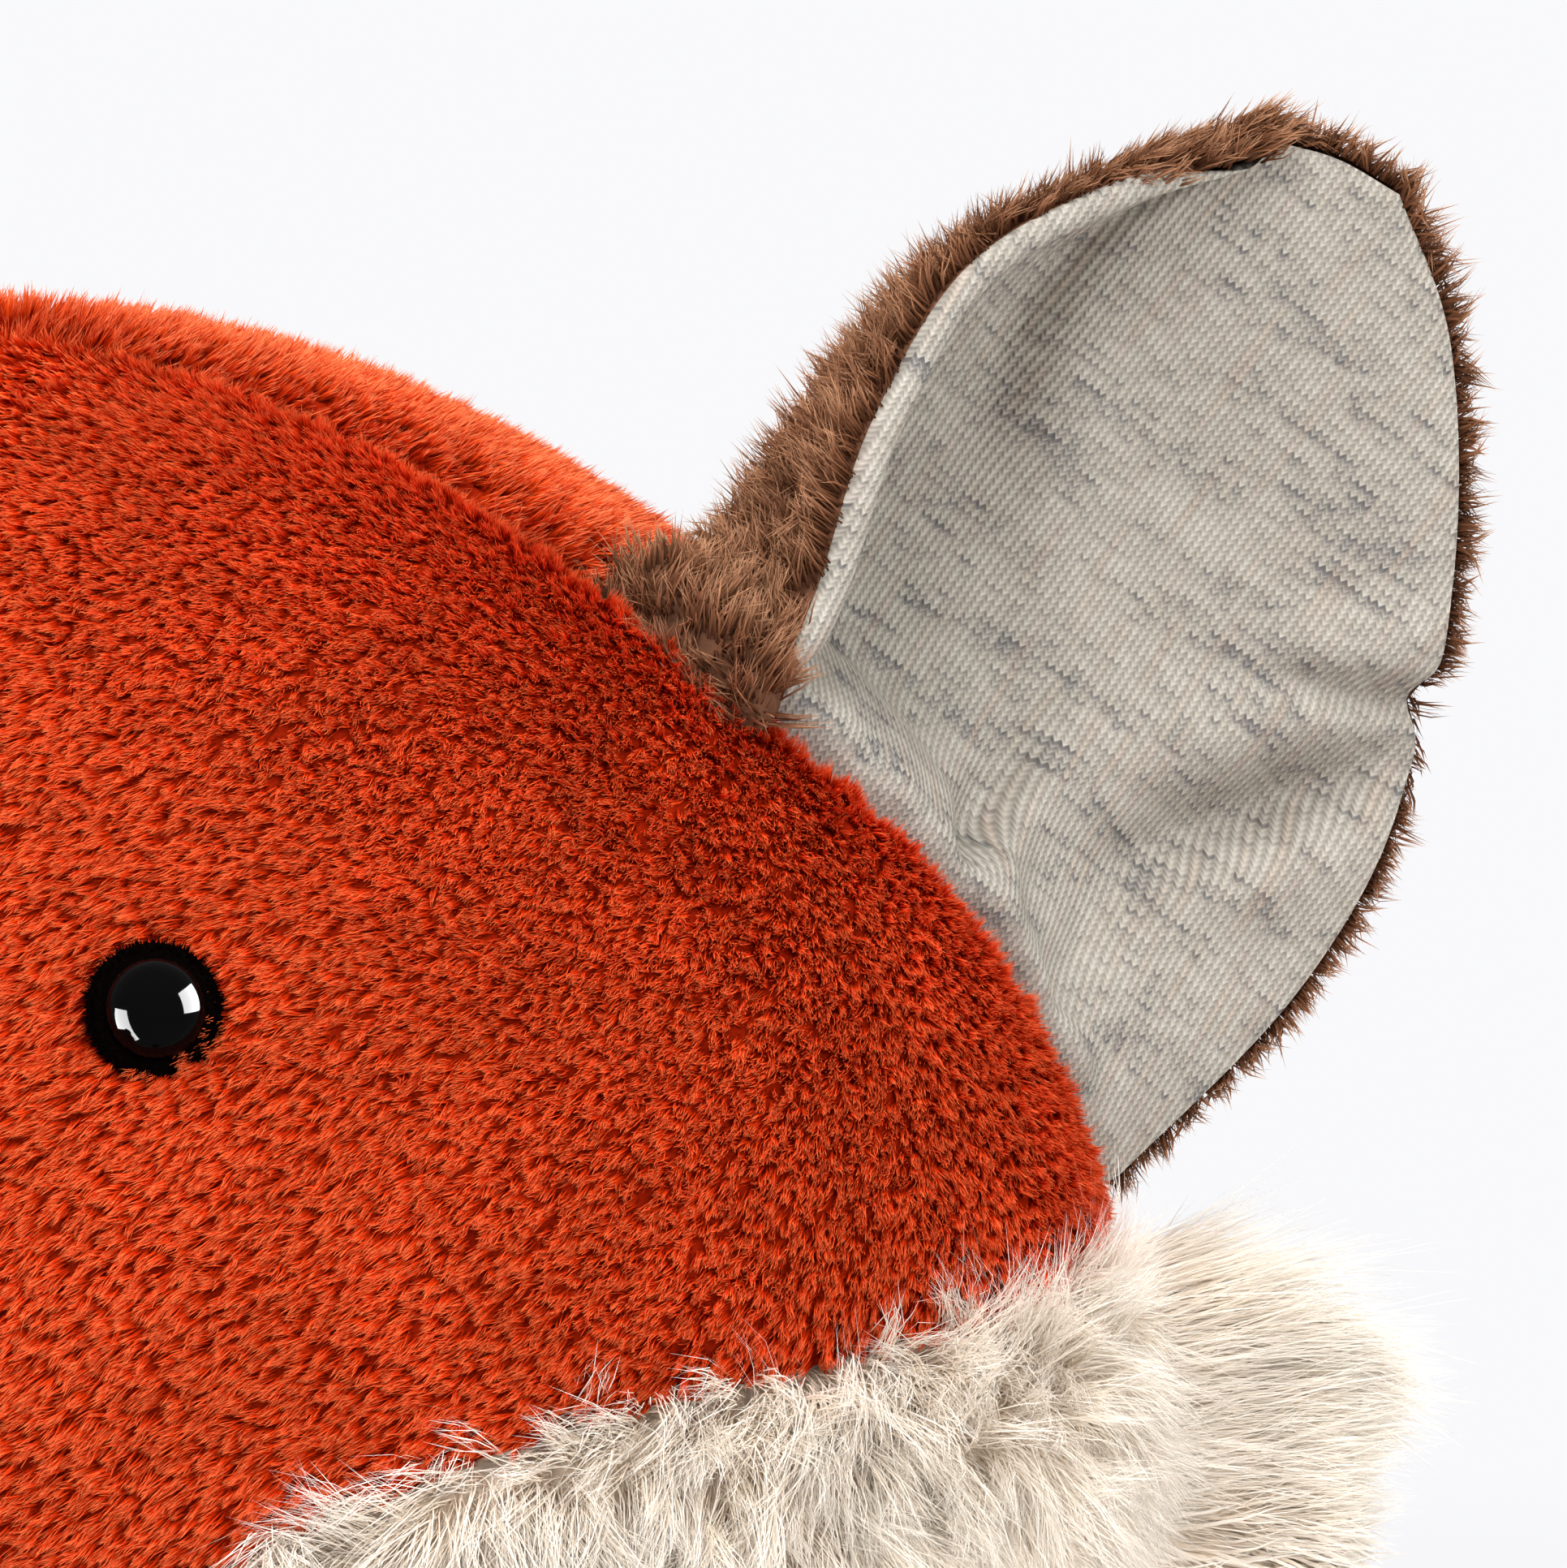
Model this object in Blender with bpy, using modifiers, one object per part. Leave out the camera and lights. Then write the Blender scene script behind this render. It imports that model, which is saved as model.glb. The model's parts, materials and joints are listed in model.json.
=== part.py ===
"""A sitting plush fox, built as its sewn skins, stuffing and fittings, in metres.

The fox looks along -Y and its left side is at +X. It sits on the plane Z = 0, and the origin is under
the middle of the whole toy. Skins are thin shells that include their short pile. Every stuffed form is
a surface function of a few sizes, and its skins, its stuffing and what is sewn to it all read it.
"""

import math

import bmesh
import bpy
from mathutils import Matrix, Vector

# Fabrics and the gaps between sewn pieces
SEW_GAP = 0.0003
SHORT_PILE_SKIN = 0.003
LONG_PILE_SKIN = 0.005
JERSEY_THICKNESS = 0.0009
EAR_PILE_SKIN = 0.0028
STUFFING_CLEARANCE = 0.0022
FORELEG_CLEARANCE = 0.0009
SEAM_DEPTH = 0.0016
OVERRUN = 0.004

# Head
NECK_HEIGHT = 0.165
NECK_PRESS = 0.0023
HEAD_HALF_WIDTH = 0.0900
HEAD_HALF_DEPTH = 0.078
CROWN_RISE = 0.0835
CHIN_DROP = 0.046
HEAD_LEVEL = NECK_HEIGHT + CHIN_DROP - NECK_PRESS
MUZZLE_HALF_WIDTH = 0.030
MUZZLE_REACH = 0.118
MUZZLE_ROOT_SHARE = 0.475
MUZZLE_TAPER_SHARE = 0.25
MUZZLE_HEIGHT_SHARE = 0.88
MUZZLE_SINK = 0.012
NOSE_RING_SHARE = 0.975

# The seam from ear to ear that joins the front panels to the back one: roll angle, then depth
SEAM_ROLLS = (-90, -30, 0, 12, 30, 42, 55, 90)
SEAM_DEPTH_SHARES = (0.25, 0.42, 0.40, 0.32, 0.11, -0.05, -0.10, -0.11)
# The border between the rust face and the cream cheeks, as roll angles from the nose to that seam
BORDER_ROLLS = (2, 1, 6, 8, 8.5, 10)
FACE_ROW_SHARES = (0, 0.05, 0.12, 0.20, 0.28, 0.35, 0.42, 0.50, 0.60, 0.72, 0.84, 0.94, 1)
FACE_COLUMNS = 18
FACE_BESIDE_SHARE = 0.025
CHEEK_COLUMNS = 8
CHEEK_BESIDE_SHARE = 0.05
BACK_RINGS = 7

# Eyes: a moulded dome on a shank, a felt ring under it and a lock washer behind the cloth
EYE_STATION_SHARE = 0.767
EYE_ROLL = 45.5
EYE_TURN = 28
EYE_LIFT = 11
EYE_RADIUS = 0.0035
EYE_HEIGHT = 0.0031
EYE_BRIM = 0.0004
SHANK_RADIUS = 0.0015
SHANK_LENGTH = 0.0115
FELT_RADIUS = 0.0046
FELT_THICKNESS = 0.0008
FELT_RECESS = 0.0014
WASHER_RADIUS = 0.0055
WASHER_THICKNESS = 0.0012
WASHER_DEPTH = 0.0064
EYE_POCKET_RADIUS = 0.0075

# Nose
NOSE_HALF_WIDTH = 0.0105
NOSE_HALF_HEIGHT = 0.0075
NOSE_HALF_DEPTH = 0.0055
NOSE_LIFT = 0.002

# Ears: an outline in the plane that the ear faces, as shares of the ear's height from its seat
EAR_HEIGHT = 0.081
EAR_FACING = 40
EAR_INNER_ROLL = 51
EAR_FOLD_ROLL = 40
EAR_OUTER_ROLL = 12
EAR_FOLD_STEP = 0.0075
EAR_SINK = 0.003
EAR_COLUMNS = 14
EAR_ROWS = 9
# Rows from the seat to the tip. Each point is across, up and forward.
EAR_RIM_SHARES = (
    (-0.045, 0.27, 0.080),
    (0.025, 0.43, 0.050),
    (0.125, 0.565, 0.020),
    (0.265, 0.635, 0.005),
    (0.420, 0.672, -0.035),
)
EAR_TURN_SHARES = (
    (-0.080, 0.305, -0.080),
    (0.050, 0.440, -0.128),
    (0.155, 0.550, -0.118),
    (0.300, 0.632, -0.080),
    (0.440, 0.685, -0.055),
)
EAR_HOLLOW_SHARES = (
    (0.060, 0.20, -0.125),
    (0.130, 0.375, -0.155),
    (0.220, 0.500, -0.135),
    (0.335, 0.610, -0.095),
    (0.468, 0.680, -0.055),
)
EAR_FLOOR_SHARES = (
    (0.245, 0.035, -0.080),
    (0.335, 0.210, -0.105),
    (0.400, 0.370, -0.095),
    (0.430, 0.530, -0.072),
    (0.505, 0.668, -0.045),
)
EAR_OUTER_SHARES = (
    (0.462, -0.100, -0.060),
    (0.562, 0.080, -0.041),
    (0.606, 0.285, -0.027),
    (0.602, 0.495, -0.028),
    (0.550, 0.640, -0.035),
)

# Side ruffs: long-pile lobes sewn into the seam behind each cheek
RUFF_ROLL = -16
RUFF_REACH = 0.019
RUFF_HALF_HEIGHT = 0.029
RUFF_HALF_DEPTH = 0.013
RUFF_SQUARENESS_SHARE = 0.62
RUFF_SIDES = 16
RUFF_RINGS = 10

# Torso
TORSO_HALF_WIDTH = 0.074
TORSO_HALF_DEPTH = 0.064
TORSO_NECK_PRESS = 0.011
TORSO_SEAT_PRESS = 0.012
TORSO_HALF_HEIGHT = (NECK_HEIGHT + TORSO_NECK_PRESS + TORSO_SEAT_PRESS) / 2
TORSO_MIDDLE = TORSO_HALF_HEIGHT - TORSO_SEAT_PRESS
TORSO_TAPER_SHARE = 0.22
BELLY_HALF_ANGLE = 52
NECK_HOLE_SHARE = 0.075
SEAT_EDGE_SHARE = 0.845
SEAT_THICKNESS = 0.0035
TORSO_ROWS = 10
BELLY_COLUMNS = 9
BELLY_BESIDE_SHARE = 0.05
BACK_COLUMNS = 16
BACK_BESIDE_SHARE = 0.025
PELLET_BAG_HEIGHT = 0.022
PELLET_BAG_HALF_WIDTH = 0.041
PELLET_BAG_HALF_DEPTH = 0.035

# Forelegs
SHOULDER_SHARE = 0.31
SHOULDER_PRESS = 0.002
FORELEG_LENGTH = 0.086
FORELEG_RADIUS = 0.0165
FOREPAW_RADIUS = 0.0185
FORELEG_LEAN = 12
FORELEG_CUFF_SHARE = 0.66
FORELEG_WRIST_SHARE = 0.84

# Hind legs
HIP_HEIGHT = 0.0225
HIP_AZIMUTH = 52
HIP_SINK = 0.008
LEG_SPREAD = 14
HINDLEG_LENGTH = 0.128
THIGH_RADIUS = 0.022
ANKLE_SHARE = 0.80
ANKLE_PLACE_SHARE = 0.60
FOOT_HALF_HEIGHT = 0.028
FOOT_HALF_WIDTH = 0.024
FOOT_PLACE_SHARE = 0.90
FOOT_CUFF_SHARE = 0.66
SOLE_PRESS = 0.008
SOLE_THICKNESS = 0.0018
SOLE_SIZE_SHARE = 0.72
SOLE_BEVEL = 0.0006
STANDING_FLAT = 0.0005

# Tail
TAIL_LENGTH = 0.165
TAIL_ROOT_RADIUS = 0.0135
TAIL_RADIUS = 0.029
TAIL_PLACE_SHARE = 0.60
TAIL_CURL = 80
TAIL_TIP_SHARE = 0.68
TAIL_SINK = 0.006
TAIL_ROOT_HEIGHT = 0.026

LIMB_SIDES = 12
LIMB_RINGS = 7


def smooth_step(share):
    share = min(max(share, 0), 1)
    return share * share * (3 - 2 * share)


def between(places, values, place):
    """A smooth curve through values at rising places, read at one place."""
    place = min(max(place, places[0]), places[-1])
    last = len(places) - 2
    index = min(sum(place >= known for known in places[1:-1]), last)
    step = places[index + 1] - places[index]
    share = (place - places[index]) / step
    before, after = max(index - 1, 0), min(index + 2, last + 1)
    start_slope = (values[index + 1] - values[before]) / (places[index + 1] - places[before])
    end_slope = (values[after] - values[index]) / (places[after] - places[index])
    start, end = values[index], values[index + 1]
    cubed, squared = share**3, share**2
    return (
        (2 * cubed - 3 * squared + 1) * start
        + (cubed - 2 * squared + share) * step * start_slope
        + (3 * squared - 2 * cubed) * end
        + (cubed - squared) * step * end_slope
    )


def seam_spread(count, beside_share):
    """Shares for count steps from 0 to 1, the first and the last narrow because a seam draws them in."""
    inner = [beside_share + (1 - 2 * beside_share) * index / (count - 2) for index in range(count - 1)]
    return [0, *inner, 1]


def start_scene():
    for thing in list(bpy.data.objects):
        bpy.data.objects.remove(thing)
    toy = bpy.data.collections.new("plush_fox")
    helpers = bpy.data.collections.new("cutters")
    for collection in (toy, helpers):
        bpy.context.scene.collection.children.link(collection)
    return toy, helpers


def make_material(name, colour, roughness):
    material = bpy.data.materials.new(name)
    material.use_nodes = True
    shader = material.node_tree.nodes["Principled BSDF"]
    shader.inputs["Base Color"].default_value = (*colour, 1)
    shader.inputs["Roughness"].default_value = roughness
    shader.inputs["Metallic"].default_value = 0
    return material


TOY, CUTTERS = start_scene()
RUST = make_material("rust_plush", (0.50, 0.075, 0.02), 0.9)
CREAM = make_material("cream_long_pile", (0.82, 0.74, 0.62), 0.95)
BROWN = make_material("brown_plush", (0.20, 0.09, 0.05), 0.95)
JERSEY = make_material("melange_jersey", (0.60, 0.56, 0.50), 0.85)
BLACK_PLASTIC = make_material("black_plastic", (0.008, 0.007, 0.007), 0.08)
FELT = make_material("black_felt", (0.012, 0.010, 0.010), 0.95)
WASHER_PLASTIC = make_material("white_plastic", (0.75, 0.75, 0.72), 0.4)
NOSE_CLOTH = make_material("nose_cloth", (0.03, 0.018, 0.014), 0.7)
FIBRE = make_material("polyester_fibre", (0.85, 0.85, 0.83), 1.0)
PELLET_CLOTH = make_material("pellet_bag_cloth", (0.55, 0.53, 0.48), 0.8)


def place(name, mesh, material, pivot=None, helper=False):
    mesh.name = name
    thing = bpy.data.objects.new(name, mesh)
    (CUTTERS if helper else TOY).objects.link(thing)
    thing.hide_render = helper
    if helper:
        thing.display_type = "WIRE"
    else:
        mesh.materials.append(material)
        mesh.shade_smooth()
    if pivot:
        thing.parent = pivot
        thing.matrix_parent_inverse = pivot.matrix_world.inverted()
    return thing


def make_pivot(name, position):
    pivot = bpy.data.objects.new(name, None)
    TOY.objects.link(pivot)
    pivot.location = position
    pivot.matrix_world = Matrix.Translation(position)
    return pivot


def finish_mesh(bm, inside=None):
    """A mesh from bm. An open surface is turned to face away from the point inside."""
    if inside is None:
        bmesh.ops.recalc_face_normals(bm, faces=bm.faces)
    else:
        bm.normal_update()
        outward = sum(
            face.normal.dot(face.calc_center_median() - inside) * face.calc_area() for face in bm.faces
        )
        if outward < 0:
            bmesh.ops.reverse_faces(bm, faces=bm.faces)
    mesh = bpy.data.meshes.new("form")
    bm.to_mesh(mesh)
    bm.free()
    return mesh


def patch(columns, rows, point_at, inside):
    """A grid whose column and row numbers point_at turns into places."""
    bm = bmesh.new()
    bmesh.ops.create_grid(bm, x_segments=columns, y_segments=rows, size=1)
    for vert in bm.verts:
        column = round((vert.co.x + 1) / 2 * columns)
        row = round((vert.co.y + 1) / 2 * rows)
        vert.co = point_at(column, row)
    return finish_mesh(bm, inside)


def ball(sides, rings, point_at, first=0, last=None, inside=None):
    """A sphere whose ring number and roll angle point_at turns into places. Rings outside first to last go."""
    last = rings if last is None else last
    bm = bmesh.new()
    bmesh.ops.create_uvsphere(bm, u_segments=sides, v_segments=rings, radius=1)
    lost = []
    for vert in bm.verts:
        ring = round(math.acos(min(max(vert.co.z, -1), 1)) / math.pi * rings)
        if first <= ring <= last:
            vert.co = point_at(ring, math.atan2(vert.co.y, vert.co.x))
        else:
            lost.append(vert)
    bmesh.ops.delete(bm, geom=lost, context="VERTS")
    return finish_mesh(bm, inside)


def add_skin(thing, thickness):
    solidify = thing.modifiers.new("skin", "SOLIDIFY")
    solidify.thickness = thickness
    solidify.offset = -1
    solidify.use_even_offset = True
    solidify.use_quality_normals = True


def cut(thing, cutter):
    boolean = thing.modifiers.new("cut", "BOOLEAN")
    boolean.operation = "DIFFERENCE"
    boolean.solver = "EXACT"
    boolean.object = cutter


def turned(name, outline, steps, matrix, material, pivot=None, closed=False):
    """A turned piece from its (radius, height) outline, its axis along the local Z of matrix."""
    bm = bmesh.new()
    verts = [bm.verts.new((radius, 0, height)) for radius, height in outline]
    for start, end in zip(verts, verts[1:]):
        bm.edges.new((start, end))
    if closed:
        bm.edges.new((verts[-1], verts[0]))
    mesh = bpy.data.meshes.new(name)
    bm.to_mesh(mesh)
    bm.free()
    thing = place(name, mesh, material, None, helper=material is None)
    thing.matrix_world = matrix
    if pivot:
        thing.parent = pivot
        thing.matrix_parent_inverse = pivot.matrix_world.inverted()
    screw = thing.modifiers.new("turn", "SCREW")
    screw.steps = steps
    screw.render_steps = steps
    screw.use_merge_vertices = True
    screw.merge_threshold = 0.00001
    return thing


# Head surface


def head_sizes(y, inset=0):
    """Half width, rise, drop and level of the head's cross-section at depth y, inside its skin by inset."""
    round_share = math.sqrt(max(0, 1 - (y / (HEAD_HALF_DEPTH - inset)) ** 2))
    root = MUZZLE_ROOT_SHARE * MUZZLE_REACH
    along = min(max((-y - root) / (MUZZLE_REACH - inset - root), 0), 1)
    muzzle = (MUZZLE_HALF_WIDTH - inset) * math.sqrt(1 - along**2) * (1 - MUZZLE_TAPER_SHARE * along)
    muzzle *= smooth_step(-y / root)
    width = ((HEAD_HALF_WIDTH - inset) * round_share, muzzle)
    rise = ((CROWN_RISE - inset) * round_share, MUZZLE_HEIGHT_SHARE * muzzle)
    drop = ((CHIN_DROP - inset) * round_share, MUZZLE_HEIGHT_SHARE * muzzle)
    sizes = [(a**3 + b**3) ** (1 / 3) for a, b in (width, rise, drop)]
    level = HEAD_LEVEL - MUZZLE_SINK * smooth_step((-y / root - 0.8) / 0.8)
    return (*sizes, level)


def head_point(y, roll, inset=0):
    width, rise, drop, level = head_sizes(y, inset)
    tall = rise if math.sin(roll) > 0 else drop
    height = level + tall * math.sin(roll)
    return Vector((width * math.cos(roll), y, max(height, NECK_HEIGHT + SEW_GAP + inset)))


def head_outward(y, roll):
    """The direction straight out of the head at a point."""
    step = SEW_GAP
    along = head_point(y + step, roll) - head_point(y - step, roll)
    around = head_point(y, roll + 0.01) - head_point(y, roll - 0.01)
    outward = along.cross(around).normalized()
    middle = Vector((0, y, HEAD_LEVEL))
    return outward if outward.dot(head_point(y, roll) - middle) > 0 else -outward


def seam_y(roll):
    """Depth of the ear-to-ear seam at a roll angle on either side."""
    side_roll = math.degrees(math.asin(min(max(math.sin(roll), -1), 1)))
    return HEAD_HALF_DEPTH * between(SEAM_ROLLS, SEAM_DEPTH_SHARES, side_roll)


def border_roll(row_share):
    """Roll angle of the edge between face and cheek, on the left side."""
    places = [index / (len(BORDER_ROLLS) - 1) for index in range(len(BORDER_ROLLS))]
    return math.radians(between(places, BORDER_ROLLS, row_share))


def front_y(row_share, roll):
    """Depth of a row of the front panels, from the nose ring at row_share 0 to the seam at 1."""
    nose = -NOSE_RING_SHARE * MUZZLE_REACH
    return nose + (seam_y(roll) - SEW_GAP / 2 - nose) * row_share


def front_point(row_share, roll, at_seam):
    return head_point(front_y(row_share, roll), roll, SEAM_DEPTH if at_seam else 0)


def face_roll(column, row_share, gap=0):
    edge = border_roll(row_share) + gap
    return edge + (math.pi - 2 * edge) * seam_spread(FACE_COLUMNS, FACE_BESIDE_SHARE)[column]


def cheek_roll(column, row_share, gap=0):
    chin = -math.pi / 2
    edge = border_roll(row_share) - gap
    return chin + (edge - chin) * seam_spread(CHEEK_COLUMNS, CHEEK_BESIDE_SHARE)[column]


def border_gap(row_share):
    """Half the sewing gap at the cheek's border, as an angle."""
    y = front_y(row_share, border_roll(row_share))
    return SEW_GAP / 2 / head_sizes(y)[0]


def make_face(pivot):
    rows = len(FACE_ROW_SHARES) - 1

    def point_at(column, row):
        share = FACE_ROW_SHARES[row]
        at_seam = row == rows or column in (0, FACE_COLUMNS)
        return front_point(share, face_roll(column, share, border_gap(share)), at_seam)

    mesh = patch(FACE_COLUMNS, rows, point_at, Vector((0, 0, HEAD_LEVEL)))
    face = place("face_panel", mesh, RUST, pivot)
    add_skin(face, SHORT_PILE_SKIN)
    return face


def make_cheek(name, side, pivot):
    rows = len(FACE_ROW_SHARES) - 1

    def point_at(column, row):
        share = FACE_ROW_SHARES[row]
        at_seam = row == rows or column in (0, CHEEK_COLUMNS)
        point = front_point(share, cheek_roll(column, share, border_gap(share)), at_seam)
        point.x = side * max(point.x, SEW_GAP / 2)
        return point

    mesh = patch(CHEEK_COLUMNS, rows, point_at, Vector((0, 0, HEAD_LEVEL)))
    cheek = place(name, mesh, CREAM, pivot)
    add_skin(cheek, LONG_PILE_SKIN)
    return cheek


def make_head_back(pivot):
    """The back panel, with a side for each column of the front panels so that the seam matches."""
    sides = FACE_COLUMNS + 2 * CHEEK_COLUMNS
    half = FACE_COLUMNS // 2

    def point_at(ring, angle):
        step = round(angle / math.tau * sides)
        from_crown = min(abs(step), sides - abs(step))
        if from_crown <= half:
            roll = face_roll(half - from_crown, 1)
        else:
            roll = cheek_roll(CHEEK_COLUMNS + half - from_crown, 1)
        roll = roll if step >= 0 else math.pi - roll
        start = math.asin((seam_y(roll) + SEW_GAP / 2) / HEAD_HALF_DEPTH)
        turn = math.pi / 2 - (math.pi / 2 - start) * ring / BACK_RINGS
        at_seam = ring == BACK_RINGS
        return head_point(HEAD_HALF_DEPTH * math.sin(turn), roll, SEAM_DEPTH if at_seam else 0)

    mesh = ball(sides, 2 * BACK_RINGS, point_at, 0, BACK_RINGS, Vector((0, 0, HEAD_LEVEL)))
    back = place("head_back_panel", mesh, RUST, pivot)
    add_skin(back, SHORT_PILE_SKIN)
    return back


def head_ball(name, sides, rings, inset, material, pivot=None):
    """The whole head as one closed form, inside its skin by inset."""
    reach = MUZZLE_REACH - inset
    depth = HEAD_HALF_DEPTH - inset

    def point_at(ring, roll):
        turn = math.pi / 2 - math.pi * ring / rings
        y = depth * math.sin(turn) if turn > 0 else 2 * reach * turn / math.pi
        return head_point(y, roll, inset)

    return place(name, ball(sides, rings, point_at), material, pivot, material is None)


def ear_frame():
    """Across, up and forward for the ear at +X."""
    facing = math.radians(EAR_FACING)
    across = Vector((math.cos(facing), math.sin(facing), 0))
    forward = Vector((math.sin(facing), -math.cos(facing), 0))
    return across, Vector((0, 0, 1)), forward


def seat_point(roll_degrees, step=0):
    """A point in the seam under the ear, sunk into the head, step in front of the seam."""
    roll = math.radians(roll_degrees)
    y = seam_y(roll) - step
    return head_point(y, roll) - head_outward(y, roll) * EAR_SINK


def ear_curve(points, share):
    places = [index / (len(points) - 1) for index in range(len(points))]
    return Vector(between(places, [point[axis] for point in points], share) for axis in range(3))


def ear_point(across_share, up_share):
    """A point of the left ear's middle surface, from the folded inner rim to the outer rim, seat to tip."""
    across, up, forward = ear_frame()
    inner, outer = seat_point(EAR_INNER_ROLL), seat_point(EAR_OUTER_ROLL)
    seat = (inner + outer) / 2
    hollow_roll = (2 * EAR_INNER_ROLL + EAR_OUTER_ROLL) / 3
    floor_roll = (EAR_INNER_ROLL + 2 * EAR_OUTER_ROLL) / 3
    firsts = (
        seat_point(EAR_FOLD_ROLL, EAR_FOLD_STEP),
        inner,
        seat_point(hollow_roll),
        seat_point(floor_roll),
        outer,
    )
    tables = (EAR_RIM_SHARES, EAR_TURN_SHARES, EAR_HOLLOW_SHARES, EAR_FLOOR_SHARES, EAR_OUTER_SHARES)
    line = []
    for first, table in zip(firsts, tables):
        points = [first]
        for a, b, c in table:
            points.append(seat + EAR_HEIGHT * (a * across + b * up + c * forward))
        line.append(ear_curve(points, up_share))
    return ear_curve(line, across_share)


def make_ear(side_name, side, head_cutter, pivot):
    def point_at(column, row):
        point = ear_point(column / EAR_COLUMNS, row / EAR_ROWS)
        return Vector((side * point.x, point.y, point.z))

    mesh = patch(EAR_COLUMNS, EAR_ROWS, point_at, side * ear_frame()[2] * HEAD_HALF_WIDTH)
    bm = bmesh.new()
    bm.from_mesh(mesh)
    bmesh.ops.triangulate(bm, faces=bm.faces)
    bm.normal_update()
    middle = point_at(2 * EAR_COLUMNS // 3, EAR_ROWS // 2)
    nearest = min(bm.faces, key=lambda face: (face.calc_center_median() - middle).length)
    if nearest.normal.y > 0:
        bmesh.ops.reverse_faces(bm, faces=bm.faces)
    bm.to_mesh(mesh)
    bm.free()
    pieces = (
        ("ear_back", BROWN, EAR_PILE_SKIN, -1),
        ("ear_lining", JERSEY, JERSEY_THICKNESS, 1),
    )
    for piece, material, thickness, facing in pieces:
        ear = place(f"{side_name}_{piece}", mesh.copy(), material, pivot)
        add_skin(ear, thickness)
        ear.modifiers["skin"].offset = facing * (1 + SEW_GAP / thickness)
        ear.modifiers["skin"].use_even_offset = False
        cut(ear, head_cutter)


def make_ruff(side_name, side, head_cutter, pivot):
    """A stuffed lobe behind the cheek, cut by the head."""
    roll = math.radians(RUFF_ROLL)
    y = seam_y(roll)
    root = head_point(y, roll)
    outward = head_outward(y, roll)
    outward = Vector((outward.x, outward.y, 0)).normalized()
    depth_way = Vector((-outward.y, outward.x, 0))

    def point_at(ring, angle):
        turn = math.pi * ring / RUFF_RINGS
        width = max(math.sin(turn), 0) ** RUFF_SQUARENESS_SHARE * (1 - math.cos(turn) / 6)
        point = root + outward * (RUFF_REACH * math.cos(turn))
        point = point + Vector((0, 0, 1)) * (RUFF_HALF_HEIGHT * width * math.cos(angle))
        point = point + depth_way * (RUFF_HALF_DEPTH * width * math.sin(angle))
        return Vector((side * point.x, point.y, point.z))

    ruff = place(f"{side_name}_ruff", ball(RUFF_SIDES, RUFF_RINGS, point_at), CREAM, pivot)
    cut(ruff, head_cutter)


def eye_matrix(side):
    y = -EYE_STATION_SHARE * HEAD_HALF_DEPTH
    point = head_point(y, math.radians(EYE_ROLL))
    turn, lift = math.radians(EYE_TURN), math.radians(EYE_LIFT)
    outward = Vector((math.sin(turn) * math.cos(lift), -math.cos(turn) * math.cos(lift), math.sin(lift)))
    point.x *= side
    outward.x *= side
    return Matrix.Translation(point) @ outward.to_track_quat("Z", "Y").to_matrix().to_4x4()


def make_eye(side_name, side, face, stuffing, pivot):
    matrix = eye_matrix(side)
    dome = [
        (EYE_RADIUS * math.sin(turn), EYE_BRIM + (EYE_HEIGHT - EYE_BRIM) * math.cos(turn))
        for turn in (math.radians(angle) for angle in range(0, 91, 15))
    ]
    base = -FELT_RECESS + FELT_THICKNESS + 2 * SEW_GAP
    outline = dome + [(EYE_RADIUS, base), (SHANK_RADIUS, base), (SHANK_RADIUS, -SHANK_LENGTH), (0, -SHANK_LENGTH)]
    turned(f"{side_name}_eye", outline, 20, matrix, BLACK_PLASTIC, pivot)
    hole = SHANK_RADIUS + SEW_GAP
    floor = -FELT_RECESS + SEW_GAP
    felt = [
        (FELT_RADIUS, floor + FELT_THICKNESS),
        (FELT_RADIUS, floor),
        (hole, floor),
        (hole, floor + FELT_THICKNESS),
    ]
    turned(f"{side_name}_eye_felt", felt, 20, matrix, FELT, pivot, closed=True)
    washer = [
        (WASHER_RADIUS, -WASHER_DEPTH),
        (WASHER_RADIUS, -WASHER_DEPTH - WASHER_THICKNESS),
        (hole, -WASHER_DEPTH - WASHER_THICKNESS),
        (hole, -WASHER_DEPTH),
    ]
    turned(f"{side_name}_eye_washer", washer, 16, matrix, WASHER_PLASTIC, pivot, closed=True)
    recess_radius = FELT_RADIUS + SEW_GAP
    recess = [
        (0, OVERRUN),
        (recess_radius, OVERRUN),
        (recess_radius, -FELT_RECESS),
        (hole, -FELT_RECESS),
        (hole, -SHANK_LENGTH - OVERRUN),
        (0, -SHANK_LENGTH - OVERRUN),
    ]
    cut(face, turned(f"{side_name}_eye_recess", recess, 20, matrix, None))
    pocket = [
        (0, OVERRUN),
        (EYE_POCKET_RADIUS, OVERRUN),
        (EYE_POCKET_RADIUS, -SHANK_LENGTH - SEW_GAP),
        (0, -SHANK_LENGTH - SEW_GAP),
    ]
    cut(stuffing, turned(f"{side_name}_eye_pocket", pocket, 16, matrix, None))


def make_nose(pivot):
    """A small stitched pad over the ring where the muzzle panels end."""
    back = -NOSE_RING_SHARE * MUZZLE_REACH - SEW_GAP
    level = head_sizes(back)[3] + NOSE_LIFT

    def point_at(ring, roll):
        turn = math.pi * ring / 8
        narrow = 1 - 0.25 * max(0, -math.sin(roll))
        x = NOSE_HALF_WIDTH * narrow * math.sin(turn) * math.cos(roll)
        y = back - NOSE_HALF_DEPTH * max(0, math.cos(turn))
        return Vector((x, y, level + NOSE_HALF_HEIGHT * math.sin(turn) * math.sin(roll)))

    bm = bmesh.new()
    bm.from_mesh(ball(16, 8, point_at, 0, 4, Vector((0, back, level))))
    bmesh.ops.holes_fill(bm, edges=bm.edges, sides=0)
    place("nose", finish_mesh(bm), NOSE_CLOTH, pivot)


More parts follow.
